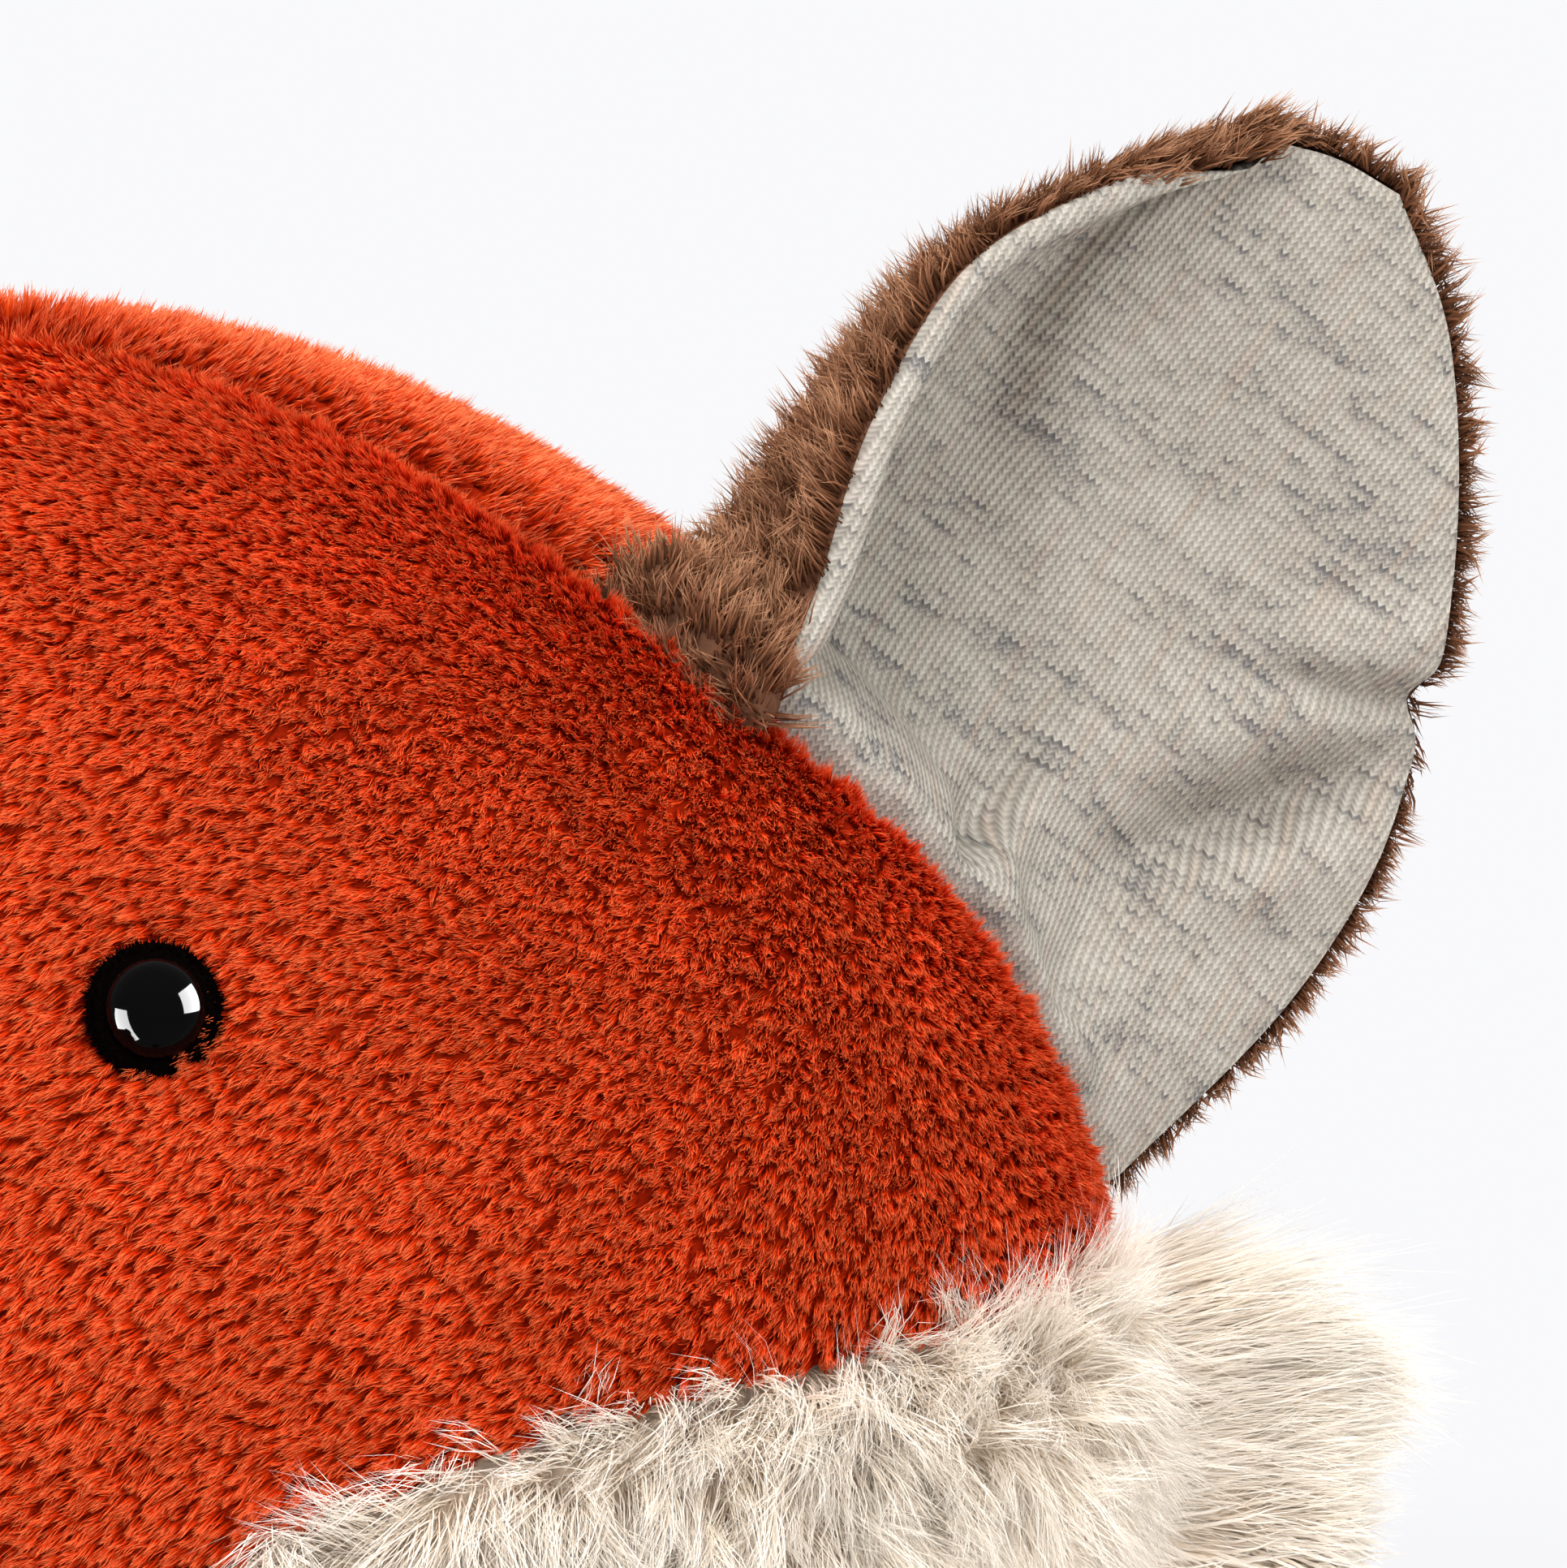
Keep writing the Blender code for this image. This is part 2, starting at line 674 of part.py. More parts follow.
def make_head():
    pivot = make_pivot("neck_pivot", Vector((0, 0, NECK_HEIGHT)))
    face = make_face(pivot)
    make_head_back(pivot)
    stuffing = head_ball("head_filling", 20, 20, LONG_PILE_SKIN + STUFFING_CLEARANCE, FIBRE, pivot)
    head_cutter = head_ball("head_form", 48, 40, -2 * SEW_GAP, None)
    make_nose(pivot)
    for side_name, side in (("left", 1), ("right", -1)):
        make_cheek(f"{side_name}_cheek", side, pivot)
        make_ear(side_name, side, head_cutter, pivot)
        make_ruff(side_name, side, head_cutter, pivot)
        make_eye(side_name, side, face, stuffing, pivot)


# Torso surface


def torso_free_point(share, azimuth, inset=0):
    """A point of the torso before anything presses on it: share runs from top to bottom, azimuth from -Y."""
    turn = math.pi * share
    swell = math.sin(turn) * (1 - TORSO_TAPER_SHARE * math.cos(turn))
    x = (TORSO_HALF_WIDTH - inset) * swell * math.sin(azimuth)
    y = -(TORSO_HALF_DEPTH - inset) * swell * math.cos(azimuth)
    return Vector((x, y, TORSO_MIDDLE + (TORSO_HALF_HEIGHT - inset) * math.cos(turn)))


def torso_outward(share, azimuth):
    down = torso_free_point(share + 0.01, azimuth) - torso_free_point(share - 0.01, azimuth)
    around = torso_free_point(share, azimuth + 0.01) - torso_free_point(share, azimuth - 0.01)
    outward = down.cross(around).normalized()
    return outward if outward.dot(torso_free_point(share, azimuth)) > 0 or outward.x > 0 else -outward


def limb_plane(share, azimuth, press):
    """The plane at +X in which a limb lies against the torso: a point and the direction out of it."""
    outward = torso_outward(share, azimuth)
    return torso_free_point(share, azimuth) - outward * press, outward


SHOULDER_PLANE = limb_plane(SHOULDER_SHARE, math.radians(90), SHOULDER_PRESS)


def torso_point(share, azimuth, inset=0):
    point = torso_free_point(share, azimuth, inset)
    point.z = min(max(point.z, inset), NECK_HEIGHT - inset)
    side = -1 if point.x < 0 else 1
    point.x *= side
    origin, outward = SHOULDER_PLANE
    above = outward.dot(point - origin) + inset
    point = point - outward * max(above, 0)
    point.x *= side
    point.z = min(max(point.z, inset), NECK_HEIGHT - inset)
    return point


def make_torso_panel(name, columns, beside_share, middle, half_angle, material, thickness):
    def point_at(column, row):
        share = NECK_HOLE_SHARE + (SEAT_EDGE_SHARE - NECK_HOLE_SHARE) * row / TORSO_ROWS
        at_seam = column in (0, columns)
        gap = SEW_GAP / 2 / (TORSO_HALF_DEPTH * math.sin(math.pi * share))
        angle = middle + (half_angle - gap) * (2 * seam_spread(columns, beside_share)[column] - 1)
        return torso_point(share, angle, SEAM_DEPTH if at_seam else 0)

    mesh = patch(columns, TORSO_ROWS, point_at, Vector((0, 0, TORSO_MIDDLE)))
    panel = place(name, mesh, material)
    add_skin(panel, thickness)
    return panel


def make_torso(sockets):
    """Belly and back panels, the seat, the stuffing and the bag of pellets that weighs the toy down."""
    belly_angle = math.radians(BELLY_HALF_ANGLE)
    belly = make_torso_panel(
        "belly_panel", BELLY_COLUMNS, BELLY_BESIDE_SHARE, 0, belly_angle, CREAM, LONG_PILE_SKIN
    )
    back = make_torso_panel(
        "back_panel", BACK_COLUMNS, BACK_BESIDE_SHARE, math.pi, math.pi - belly_angle, RUST, SHORT_PILE_SKIN
    )

    edge_depth = torso_free_point(SEAT_EDGE_SHARE, 0).y
    edge_width = torso_free_point(SEAT_EDGE_SHARE, math.pi / 2).x
    edge_inset = LONG_PILE_SKIN + SEW_GAP
    bm = bmesh.new()
    bmesh.ops.create_cone(bm, cap_ends=True, segments=28, radius1=1, radius2=1, depth=1)
    size = (edge_width - edge_inset, -edge_depth - edge_inset, SEAT_THICKNESS)
    bmesh.ops.scale(bm, vec=size, verts=bm.verts)
    bmesh.ops.translate(bm, vec=(0, 0, SEAT_THICKNESS / 2), verts=bm.verts)
    place("seat_panel", finish_mesh(bm), RUST)

    bag_floor = SEAT_THICKNESS + SEW_GAP

    def bag_point(ring, roll):
        turn = math.pi * ring / 8
        x = PELLET_BAG_HALF_WIDTH * math.sin(turn) * math.cos(roll)
        y = PELLET_BAG_HALF_DEPTH * math.sin(turn) * math.sin(roll)
        half = PELLET_BAG_HEIGHT / 2
        return Vector((x, y, bag_floor + half * (1 + math.cos(turn))))

    place("pellet_bag", ball(16, 8, bag_point), PELLET_CLOTH)

    inset = LONG_PILE_SKIN + STUFFING_CLEARANCE
    filling_floor = bag_floor + PELLET_BAG_HEIGHT + SEW_GAP

    def filling_point(ring, roll):
        point = torso_point(ring / 14, roll, inset)
        point.z = max(point.z, filling_floor)
        return point

    filling = place("torso_filling", ball(18, 14, filling_point), FIBRE)
    for socket in sockets:
        for piece in (belly, back, filling):
            cut(piece, socket)


class Limb:
    """A stuffed limb: a spine, the half sizes along it, and the planes that press on it."""

    def __init__(self, spine, along, up, length, half_width, half_height, ends, planes):
        self.spine, self.along, self.up = spine, along, up
        self.length, self.half_width, self.half_height = length, half_width, half_height
        self.ends, self.planes = ends, planes

    def point(self, share, roll, inset=0, sink=0):
        """A point at a share of the limb's length, inside its skin by inset or drawn in by sink."""
        run, rest = share * self.length, (1 - share) * self.length
        start, end = self.ends
        rounding = 1
        if run < start:
            rounding = math.sqrt(max(0, 1 - (1 - run / start) ** 2))
            run = inset + run * (start - inset) / start
        elif rest < end:
            rounding = math.sqrt(max(0, 1 - (1 - rest / end) ** 2))
            run = self.length - inset - rest * (end - inset) / end
        place_share = run / self.length
        across = self.along(place_share).cross(self.up).normalized()
        width = (self.half_width(share) - inset - sink) * rounding
        height = (self.half_height(share) - inset - sink) * rounding
        point = self.spine(place_share) + across * (width * math.cos(roll))
        point = point + self.up * (height * math.sin(roll))
        for origin, outward in self.planes:
            below = outward.dot(point - origin) - inset
            point = point - outward * min(below, 0)
        return point

    def ring_share(self, ring, cuff_share, from_root, gap=0):
        """Where a ring lies: rings run from an end to the cuff seam, the last one beside it."""
        reach = cuff_share if from_root else 1 - cuff_share
        beside_share = 2 * SEAM_DEPTH / self.length
        run = (reach - beside_share) * (1 - math.cos(math.pi / 2 * ring / (LIMB_RINGS - 1)))
        if ring == LIMB_RINGS:
            run = reach - gap / self.length
        return run if from_root else 1 - run

    def skin(self, name, cuff_share, from_root, material, pivot, side):
        """One of the two skins, from the root or the tip to the cuff seam, which draws it in."""

        def point_at(ring, roll):
            share = self.ring_share(ring, cuff_share, from_root, SEW_GAP / 2)
            point = self.point(share, roll, 0, SEAM_DEPTH if ring == LIMB_RINGS else 0)
            return Vector((side * point.x, point.y, point.z))

        inside = self.spine(cuff_share / 2 if from_root else (1 + cuff_share) / 2)
        inside = Vector((side * inside.x, inside.y, inside.z))
        mesh = ball(LIMB_SIDES, 2 * LIMB_RINGS, point_at, 0, LIMB_RINGS, inside)
        thing = place(name, mesh, material, pivot)
        add_skin(thing, SHORT_PILE_SKIN)
        return thing

    def stuffing(self, name, cuff_share, clearance, pivot, side):
        """The filling, with the same rings as its two skins."""
        inset = SHORT_PILE_SKIN + clearance

        def point_at(ring, roll):
            from_root = ring <= LIMB_RINGS
            step = ring if from_root else 2 * LIMB_RINGS - ring
            share = self.ring_share(step, cuff_share, from_root)
            point = self.point(share, roll, inset, 2 * SEAM_DEPTH if step == LIMB_RINGS else 0)
            return Vector((side * point.x, point.y, point.z))

        return place(name, ball(LIMB_SIDES, 2 * LIMB_RINGS, point_at), FIBRE, pivot)


def foreleg():
    """The left foreleg: it hangs in the shoulder plane, leaning forward a little."""
    origin, outward = SHOULDER_PLANE
    down = (Vector((0, 0, -1)) + outward * outward.z).normalized()
    down = Matrix.Rotation(math.radians(-FORELEG_LEAN), 3, outward) @ down
    hinge = origin + outward * (FORELEG_RADIUS + SEW_GAP)

    def spine(share):
        return hinge + down * (share * FORELEG_LENGTH - FORELEG_RADIUS)

    def half(share):
        wrist = FORELEG_WRIST_SHARE * FORELEG_RADIUS
        places = (0, 0.25, FORELEG_CUFF_SHARE, 0.85, 1)
        return between(places, (FORELEG_RADIUS, FORELEG_RADIUS, wrist, FOREPAW_RADIUS, FOREPAW_RADIUS), share)

    planes = ((origin + outward * SEW_GAP, outward),)
    limb = Limb(
        spine, lambda share: down, outward, FORELEG_LENGTH, half, half, (FORELEG_RADIUS, FOREPAW_RADIUS), planes
    )
    return limb, hinge


def hip_centre():
    """The point about which the left hind leg turns, outside the torso by less than the thigh's radius."""
    share = math.acos((HIP_HEIGHT - TORSO_MIDDLE) / TORSO_HALF_HEIGHT) / math.pi
    azimuth = math.radians(HIP_AZIMUTH)
    outward = torso_outward(share, azimuth)
    flat_out = Vector((outward.x, outward.y, 0)).normalized()
    centre = torso_free_point(share, azimuth) + flat_out * (THIGH_RADIUS - HIP_SINK) / flat_out.dot(outward)
    return Vector((centre.x, centre.y, THIGH_RADIUS - STANDING_FLAT))


def hindleg():
    """The left hind leg: it lies on the ground ahead of the hip, its foot upright."""
    hip = hip_centre()
    spread = math.radians(LEG_SPREAD)
    ahead = Vector((math.sin(spread), -math.cos(spread), 0))
    places = (0, 0.2, ANKLE_PLACE_SHARE, FOOT_PLACE_SHARE, 1)
    ankle = ANKLE_SHARE * THIGH_RADIUS

    def half_height(share):
        sizes = (THIGH_RADIUS, THIGH_RADIUS, ankle, FOOT_HALF_HEIGHT, FOOT_HALF_HEIGHT)
        return between(places, sizes, share)

    def half_width(share):
        sizes = (THIGH_RADIUS, THIGH_RADIUS, ankle, FOOT_HALF_WIDTH, FOOT_HALF_WIDTH)
        return between(places, sizes, share)

    def spine(share):
        point = hip + ahead * (share * HINDLEG_LENGTH - THIGH_RADIUS)
        point.z = half_height(share) - STANDING_FLAT
        return point

    sole = hip + ahead * (HINDLEG_LENGTH - THIGH_RADIUS - SOLE_PRESS)
    planes = ((Vector((0, 0, 0)), Vector((0, 0, 1))), (sole, -ahead))
    limb = Limb(
        spine,
        lambda share: ahead,
        Vector((0, 0, 1)),
        HINDLEG_LENGTH,
        half_width,
        half_height,
        (THIGH_RADIUS, FOOT_HALF_WIDTH),
        planes,
    )
    return limb, hip, ahead, sole


def make_forelegs():
    limb, hinge = foreleg()
    for side_name, side in (("left", 1), ("right", -1)):
        pivot = make_pivot(f"{side_name}_shoulder_pivot", Vector((side * hinge.x, hinge.y, hinge.z)))
        limb.skin(f"{side_name}_foreleg_skin", FORELEG_CUFF_SHARE, True, RUST, pivot, side)
        limb.skin(f"{side_name}_forepaw", FORELEG_CUFF_SHARE, False, BROWN, pivot, side)
        limb.stuffing(f"{side_name}_foreleg_filling", FORELEG_CUFF_SHARE, FORELEG_CLEARANCE, pivot, side)


def make_hindlegs():
    limb, hip, ahead, sole = hindleg()
    for side_name, side in (("left", 1), ("right", -1)):
        pivot = make_pivot(f"{side_name}_hip_pivot", Vector((side * hip.x, hip.y, hip.z)))
        limb.skin(f"{side_name}_hindleg_skin", FOOT_CUFF_SHARE, True, RUST, pivot, side)
        limb.skin(f"{side_name}_foot", FOOT_CUFF_SHARE, False, BROWN, pivot, side)
        limb.stuffing(f"{side_name}_hindleg_filling", FOOT_CUFF_SHARE, STUFFING_CLEARANCE, pivot, side)

        bm = bmesh.new()
        bmesh.ops.create_cone(bm, cap_ends=True, segments=24, radius1=1, radius2=1, depth=1)
        size = (FOOT_HALF_WIDTH * SOLE_SIZE_SHARE, FOOT_HALF_HEIGHT * SOLE_SIZE_SHARE, SOLE_THICKNESS)
        bmesh.ops.scale(bm, vec=size, verts=bm.verts)
        out = Vector((side * ahead.x, ahead.y, 0))
        turn = Matrix((Vector((0, 0, 1)).cross(out), Vector((0, 0, 1)), out)).transposed()
        centre = Vector((side * sole.x, sole.y, FOOT_HALF_HEIGHT - STANDING_FLAT))
        bmesh.ops.transform(bm, matrix=turn.to_4x4(), verts=bm.verts)
        bmesh.ops.translate(bm, vec=centre + out * (SEW_GAP + SOLE_THICKNESS / 2), verts=bm.verts)
        pad = place(f"{side_name}_sole", finish_mesh(bm), JERSEY, pivot)
        bevel = pad.modifiers.new("soft edge", "BEVEL")
        bevel.width = SOLE_BEVEL
        bevel.segments = 2


def tail_hinge():
    """The point at the torso's back about which the tail turns."""
    share = math.acos((TAIL_ROOT_HEIGHT - TORSO_MIDDLE) / TORSO_HALF_HEIGHT) / math.pi
    back = torso_free_point(share, math.pi)
    return Vector((0, back.y + TAIL_ROOT_RADIUS - TAIL_SINK, TAIL_ROOT_HEIGHT))


def tail():
    """A brush that leaves the torso's back and curls round to the left along the ground."""
    hinge = tail_hinge()
    curl = math.radians(TAIL_CURL)

    def half(share):
        places = (0, 0.12, 0.35, TAIL_PLACE_SHARE, 0.82, 1)
        wide = TAIL_RADIUS
        sizes = (TAIL_ROOT_RADIUS, TAIL_ROOT_RADIUS, 0.80 * wide, wide, 0.80 * wide, 0.42 * wide)
        return between(places, sizes, share)

    def spine(share):
        run = share * TAIL_LENGTH - TAIL_ROOT_RADIUS
        radius = TAIL_LENGTH / curl
        turned_by = max(run, 0) / radius
        x = radius * (1 - math.cos(turned_by))
        y = radius * math.sin(turned_by) + min(run, 0)
        height = half(share) - STANDING_FLAT
        settle = smooth_step((share - 0.1) / 0.3)
        return Vector((x, hinge.y + y, hinge.z + (height - hinge.z) * settle))

    def along(share):
        turned_by = max(share * TAIL_LENGTH - TAIL_ROOT_RADIUS, 0) / (TAIL_LENGTH / curl)
        return Vector((math.sin(turned_by), math.cos(turned_by), 0))

    planes = ((Vector((0, 0, 0)), Vector((0, 0, 1))),)
    ends = (TAIL_ROOT_RADIUS, 0.5 * TAIL_RADIUS)
    return Limb(spine, along, Vector((0, 0, 1)), TAIL_LENGTH, half, half, ends, planes)


def make_socket(name, centre, root_radius):
    """A ball-shaped cutter for the hole that a limb's root turns in."""
    radius = root_radius + 2 * SEW_GAP

    def point_at(ring, roll):
        turn = math.pi * ring / 16
        flat = Vector((math.cos(roll), math.sin(roll), 0)) * math.sin(turn)
        return centre + (flat + Vector((0, 0, math.cos(turn)))) * radius

    return place(name, ball(28, 16, point_at), None, helper=True)


def make_sockets():
    left_hip = hip_centre()
    right_hip = Vector((-left_hip.x, left_hip.y, left_hip.z))
    return (
        make_socket("tail_socket", tail_hinge(), TAIL_ROOT_RADIUS),
        make_socket("left_hip_socket", left_hip, THIGH_RADIUS),
        make_socket("right_hip_socket", right_hip, THIGH_RADIUS),
    )


def make_tail():
    pivot = make_pivot("tail_pivot", tail_hinge())
    form = tail()
    form.skin("tail_skin", TAIL_TIP_SHARE, True, RUST, pivot, 1)
    form.skin("tail_tip", TAIL_TIP_SHARE, False, CREAM, pivot, 1)
    form.stuffing("tail_filling", TAIL_TIP_SHARE, STUFFING_CLEARANCE, pivot, 1)


make_head()
make_torso(make_sockets())
make_forelegs()
make_hindlegs()
make_tail()
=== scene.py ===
# %% [markdown]
# # Dressing a plush fox
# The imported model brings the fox's sewn pieces, stuffing and fittings as plain solids. This file gives
# them what the hand would feel: pile, knit, felt and polished plastic. The plush is real geometry. Every
# tuft is a few thin blades that grow from a cloth, so it shades, shadows and exports like any other mesh.

import json
import math

import bmesh
import bpy
import numpy as np
from mathutils import Matrix, Vector
from mathutils.kdtree import KDTree

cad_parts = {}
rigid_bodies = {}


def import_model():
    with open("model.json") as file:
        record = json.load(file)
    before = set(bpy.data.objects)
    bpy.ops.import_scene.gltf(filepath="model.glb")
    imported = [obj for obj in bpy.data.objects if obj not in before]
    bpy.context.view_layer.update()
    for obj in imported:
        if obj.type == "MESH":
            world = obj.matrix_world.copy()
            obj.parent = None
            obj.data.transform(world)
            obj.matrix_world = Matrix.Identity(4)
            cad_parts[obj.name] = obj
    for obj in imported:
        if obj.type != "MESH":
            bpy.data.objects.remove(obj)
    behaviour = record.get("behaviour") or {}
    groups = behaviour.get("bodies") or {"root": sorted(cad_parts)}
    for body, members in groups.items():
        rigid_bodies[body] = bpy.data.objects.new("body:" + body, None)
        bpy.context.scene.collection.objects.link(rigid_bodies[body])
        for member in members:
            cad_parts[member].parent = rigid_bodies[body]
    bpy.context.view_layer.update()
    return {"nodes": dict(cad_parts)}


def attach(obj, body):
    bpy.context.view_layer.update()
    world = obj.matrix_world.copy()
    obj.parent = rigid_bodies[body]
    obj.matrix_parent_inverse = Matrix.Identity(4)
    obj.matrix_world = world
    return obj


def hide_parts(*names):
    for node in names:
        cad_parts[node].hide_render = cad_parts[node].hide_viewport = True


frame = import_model()
MM = 0.001
SIDES = (("left", 1), ("right", -1))

# %% [markdown]
# ## Small helpers
# Colours are written as sRGB hex values, the way a colour picker shows them, and shaders want linear
# light. One function turns the one into the other. Another adds a shader node with its settings and
# links, so that a material reads as a list of what feeds what. A toy is cut in mirrored pairs, so each
# pair is worked out for the fox's left side, and a factor turns its x round for the right.

# %% Colour, node and mirror helpers
def linear(hex_colour):
    channels = [int(hex_colour[i : i + 2], 16) / 255 for i in (0, 2, 4)]
    return [c / 12.92 if c <= 0.04045 else ((c + 0.055) / 1.055) ** 2.4 for c in channels] + [1]


def feed(node, inputs):
    """Fills inputs. A value is a socket, a node (for its first output), a hex colour or a constant."""
    for key, value in inputs.items():
        socket = node.inputs[key]
        if isinstance(value, bpy.types.Node):
            value = value.outputs[0]
        if isinstance(value, bpy.types.NodeSocket):
            node.id_data.links.new(value, socket)
        else:
            socket.default_value = linear(value) if isinstance(value, str) else value


def add_node(tree, kind, inputs=None, stops=(), **settings):
    """A node with its settings and links, and a ramp's stops as pairs of place and colour."""
    node = tree.nodes.new("ShaderNode" + kind)
    for name, value in settings.items():
        setattr(node, name, value)
    feed(node, inputs or {})
    if stops:
        elements = node.color_ramp.elements
        while len(elements) < len(stops):
            elements.new(0.5)
        for element, (position, colour) in zip(elements, stops):
            element.position, element.color = position, linear(colour)
    return node


def new_material(name, **surface):
    """A material, its node tree and its Principled shader with the given constants."""
    material = bpy.data.materials.new(name)
    material.use_nodes = True
    shader = material.node_tree.nodes["Principled BSDF"]
    feed(shader, {key.replace("_", " "): value for key, value in surface.items()})
    return material, material.node_tree, shader


def mirror(side):
    """The factor that takes a point of the left side, 1, to the right one, -1."""
    return np.array([side, 1, 1])


print("mid grey in linear light:", round(linear("808080")[0], 3))

# %% [markdown]
# ## The materials of plush
# Plush is a knitted backing with a dense cut pile of polyester. Light that enters between the fibres is
# swallowed, so the pile is dark deep down and bright at its tips, and each blade has that painted in:
# painted shade at its root and a painted highlight at its tip. No two strands took the dye quite alike.
# Each blade of the pile carries both in its UV map: U is a random number of its own, and V runs from
# root to tip. A slow noise on top keeps a large panel from looking printed. Fibre this fine throws no
# mirror image, so cloth has no specular reflection here. Its roughness stays high, as on any textile.

# %% Pile and backing materials
HAND_PATCH = 11.11  # mm, about as wide as the marks that a hand leaves in plush


def pile_material(name, root, middle, tip, strand_spread, sheen):
    """Cut pile with its colour at three heights, which paint shade at the root and a highlight at the tip,
    and the share by which strands differ in lightness.
    """
    material, tree, shader = new_material(
        name, Roughness=0.72, Sheen_Weight=sheen, Sheen_Roughness=0.45, Sheen_Tint=tip,
        Specular_IOR_Level=0,
    )
    strand = add_node(tree, "SeparateXYZ", {0: add_node(tree, "UVMap", uv_map="pile")})
    # Painted shade and light: the ramp darkens the root and brightens the tip of each blade.
    along = add_node(tree, "ValToRGB", {"Fac": strand.outputs["Y"]}, [(0, root), (0.55, middle), (1, tip)])
    lightness = add_node(
        tree, "MapRange",
        {"Value": strand.outputs["X"], "To Min": 1 - strand_spread, "To Max": 1 + strand_spread},
    )
    place = add_node(tree, "TexCoord").outputs["Object"]
    patches = add_node(tree, "TexNoise", {"Vector": place, "Scale": 1 / (HAND_PATCH * MM), "Detail": 2})
    slow = add_node(
        tree, "MapRange",
        {"Value": patches, "From Min": 0.3, "From Max": 0.7, "To Min": 0.92, "To Max": 1.08},
    )
    shade = add_node(tree, "Math", {0: lightness, 1: slow}, operation="MULTIPLY")
    feed(shader, {"Base Color": add_node(tree, "HueSaturation", {"Color": along, "Value": shade})})
    return material


def backing_material(name, colour, knit_mm=0.9):
    """A knitted ground: matt, with a small dip at each stitch, which is painted darker as shade."""
    material, tree, shader = new_material(name, Roughness=0.95, Specular_IOR_Level=0)
    place = add_node(tree, "TexCoord").outputs["Object"]
    knit = add_node(tree, "TexVoronoi", {"Vector": place, "Scale": 1 / (knit_mm * MM)})
    # Painted shade: the colour darkens where the bump dips at each stitch.
    shade = add_node(tree, "MapRange", {"Value": knit, "To Min": 0.7, "To Max": 1.1})
    feed(shader, {
        "Base Color": add_node(tree, "HueSaturation", {"Color": colour, "Value": shade}),
        "Normal": add_node(tree, "Bump", {"Height": knit, "Distance": 0.2 * MM, "Strength": 0.6}),
    })
    return material


# Dyed polyester plush, cut short, with painted shade and light: a deep red at the roots, for the gaps
# between tufts, and orange on the tips, for the light they catch.
RUST_PILE = pile_material("rust_polyester_pile", "981E06", "DC3C10", "FF8850", 0.16, 0.03)
# The same plush brushed the other way on the crown, and painted paler: a painted highlight for the light
# that more of its tips catch there.
RUST_BACK_PILE = pile_material("rust_polyester_pile_brushed_painted_paler", "9E2408", "DC4816", "FF9664", 0.10, 0.1)
# Long pile, undyed and crimped. It is pale down to its root, painted only a little darker there as
# shade, so its locks show mostly by their cast shadows.
CREAM_PILE = pile_material("cream_polyester_long_pile", "ECDAC6", "F8EEE0", "FCF5EC", 0.05, 0.03)
# Brown plush, with painted shade at its roots and a painted highlight on its paler tips, which frosts it.
BROWN_PILE = pile_material("brown_polyester_pile", "45281A", "7C5239", "C49472", 0.18, 0.05)
# Knitted grounds in each pile's hue. They are dull, and painted dark as the shade at the bottom of a
# parting, where they show.
RUST_GROUND = backing_material("rust_knitted_backing", "8C1E08")
CREAM_GROUND = backing_material("cream_knitted_backing", "EEDFCC")
BROWN_GROUND = backing_material("brown_knitted_backing", "6A4836")
print("pile materials:", RUST_PILE.name, RUST_BACK_PILE.name, CREAM_PILE.name, BROWN_PILE.name)

# %% [markdown]
# ## Growing pile on a cloth
# Blender's own hair would grow this quickly, but hair curves don't survive an export, so each strand is
# a blade: a thin strip of up to three steps that tapers to a point. Strands are set in tufts, as real
# pile clings together: roots spread over a small disc, tips lean towards one point. The tufts are
# scattered evenly by area, and a comb function says which way they lie at each place. A real fibre is
# 0.02 mm thick, too fine to show, so a blade is drawn 0.05 to 0.6 mm wide and stands for a bundle. No
# bmesh operator makes that many blades in a workable time, so they are worked out as arrays.

# %% Scattering roots over a mesh
def scatter(mesh, spacing, weight, rng):
    """Places and normals spread over a mesh, one to each square of the spacing where weight is 1."""
    mesh.calc_loop_triangles()
    count = len(mesh.vertices)
    places = np.empty(count * 3, np.float32)
    normals = np.empty(count * 3, np.float32)
    mesh.vertices.foreach_get("co", places)
    mesh.vertices.foreach_get("normal", normals)
    places, normals = places.reshape(-1, 3), normals.reshape(-1, 3)
    corners = np.empty(len(mesh.loop_triangles) * 3, np.int32)
    mesh.loop_triangles.foreach_get("vertices", corners)
    corners = corners.reshape(-1, 3)
    a, b, c = (places[corners[:, i]] for i in range(3))
    area = np.linalg.norm(np.cross(b - a, c - a), axis=1) / 2
    running = np.cumsum(area * weight((a + b + c) / 3) / spacing**2)
    total = int(running[-1])
    picked = np.searchsorted(running, (np.arange(total) + rng.random(total)) * running[-1] / total)
    picked = np.minimum(picked, len(corners) - 1)
    u, v = rng.random((2, total, 1))
    flip = u + v > 1
    u, v = np.where(flip, 1 - u, u), np.where(flip, 1 - v, v)
    shares = (1 - u - v, u, v)
    place = sum(share * places[corners[picked, i]] for i, share in enumerate(shares))
    normal = sum(share * normals[corners[picked, i]] for i, share in enumerate(shares))
    return place, unit(normal)


def unit(vectors):
    return vectors / np.maximum(np.linalg.norm(vectors, axis=-1, keepdims=True), 1e-9)


def swirl(places, size, seed):
    """A smooth random value from -1 to 1 at each place, with bumps about one size across."""
    rng = np.random.default_rng(seed)
    total = np.zeros(len(places))
    for _ in range(5):
        wave = unit(rng.normal(size=3)) * math.tau / (size * rng.uniform(1.2, 3))
        total += np.sin(places @ wave + rng.uniform(0, math.tau))
    return total / 3


print("tufts to a square cm where they stand 0.64 mm apart:", round(100 / 0.64**2))


# %% Making the blades
BLADE_TAPER = (1, 0.82, 0.5, 0.3)


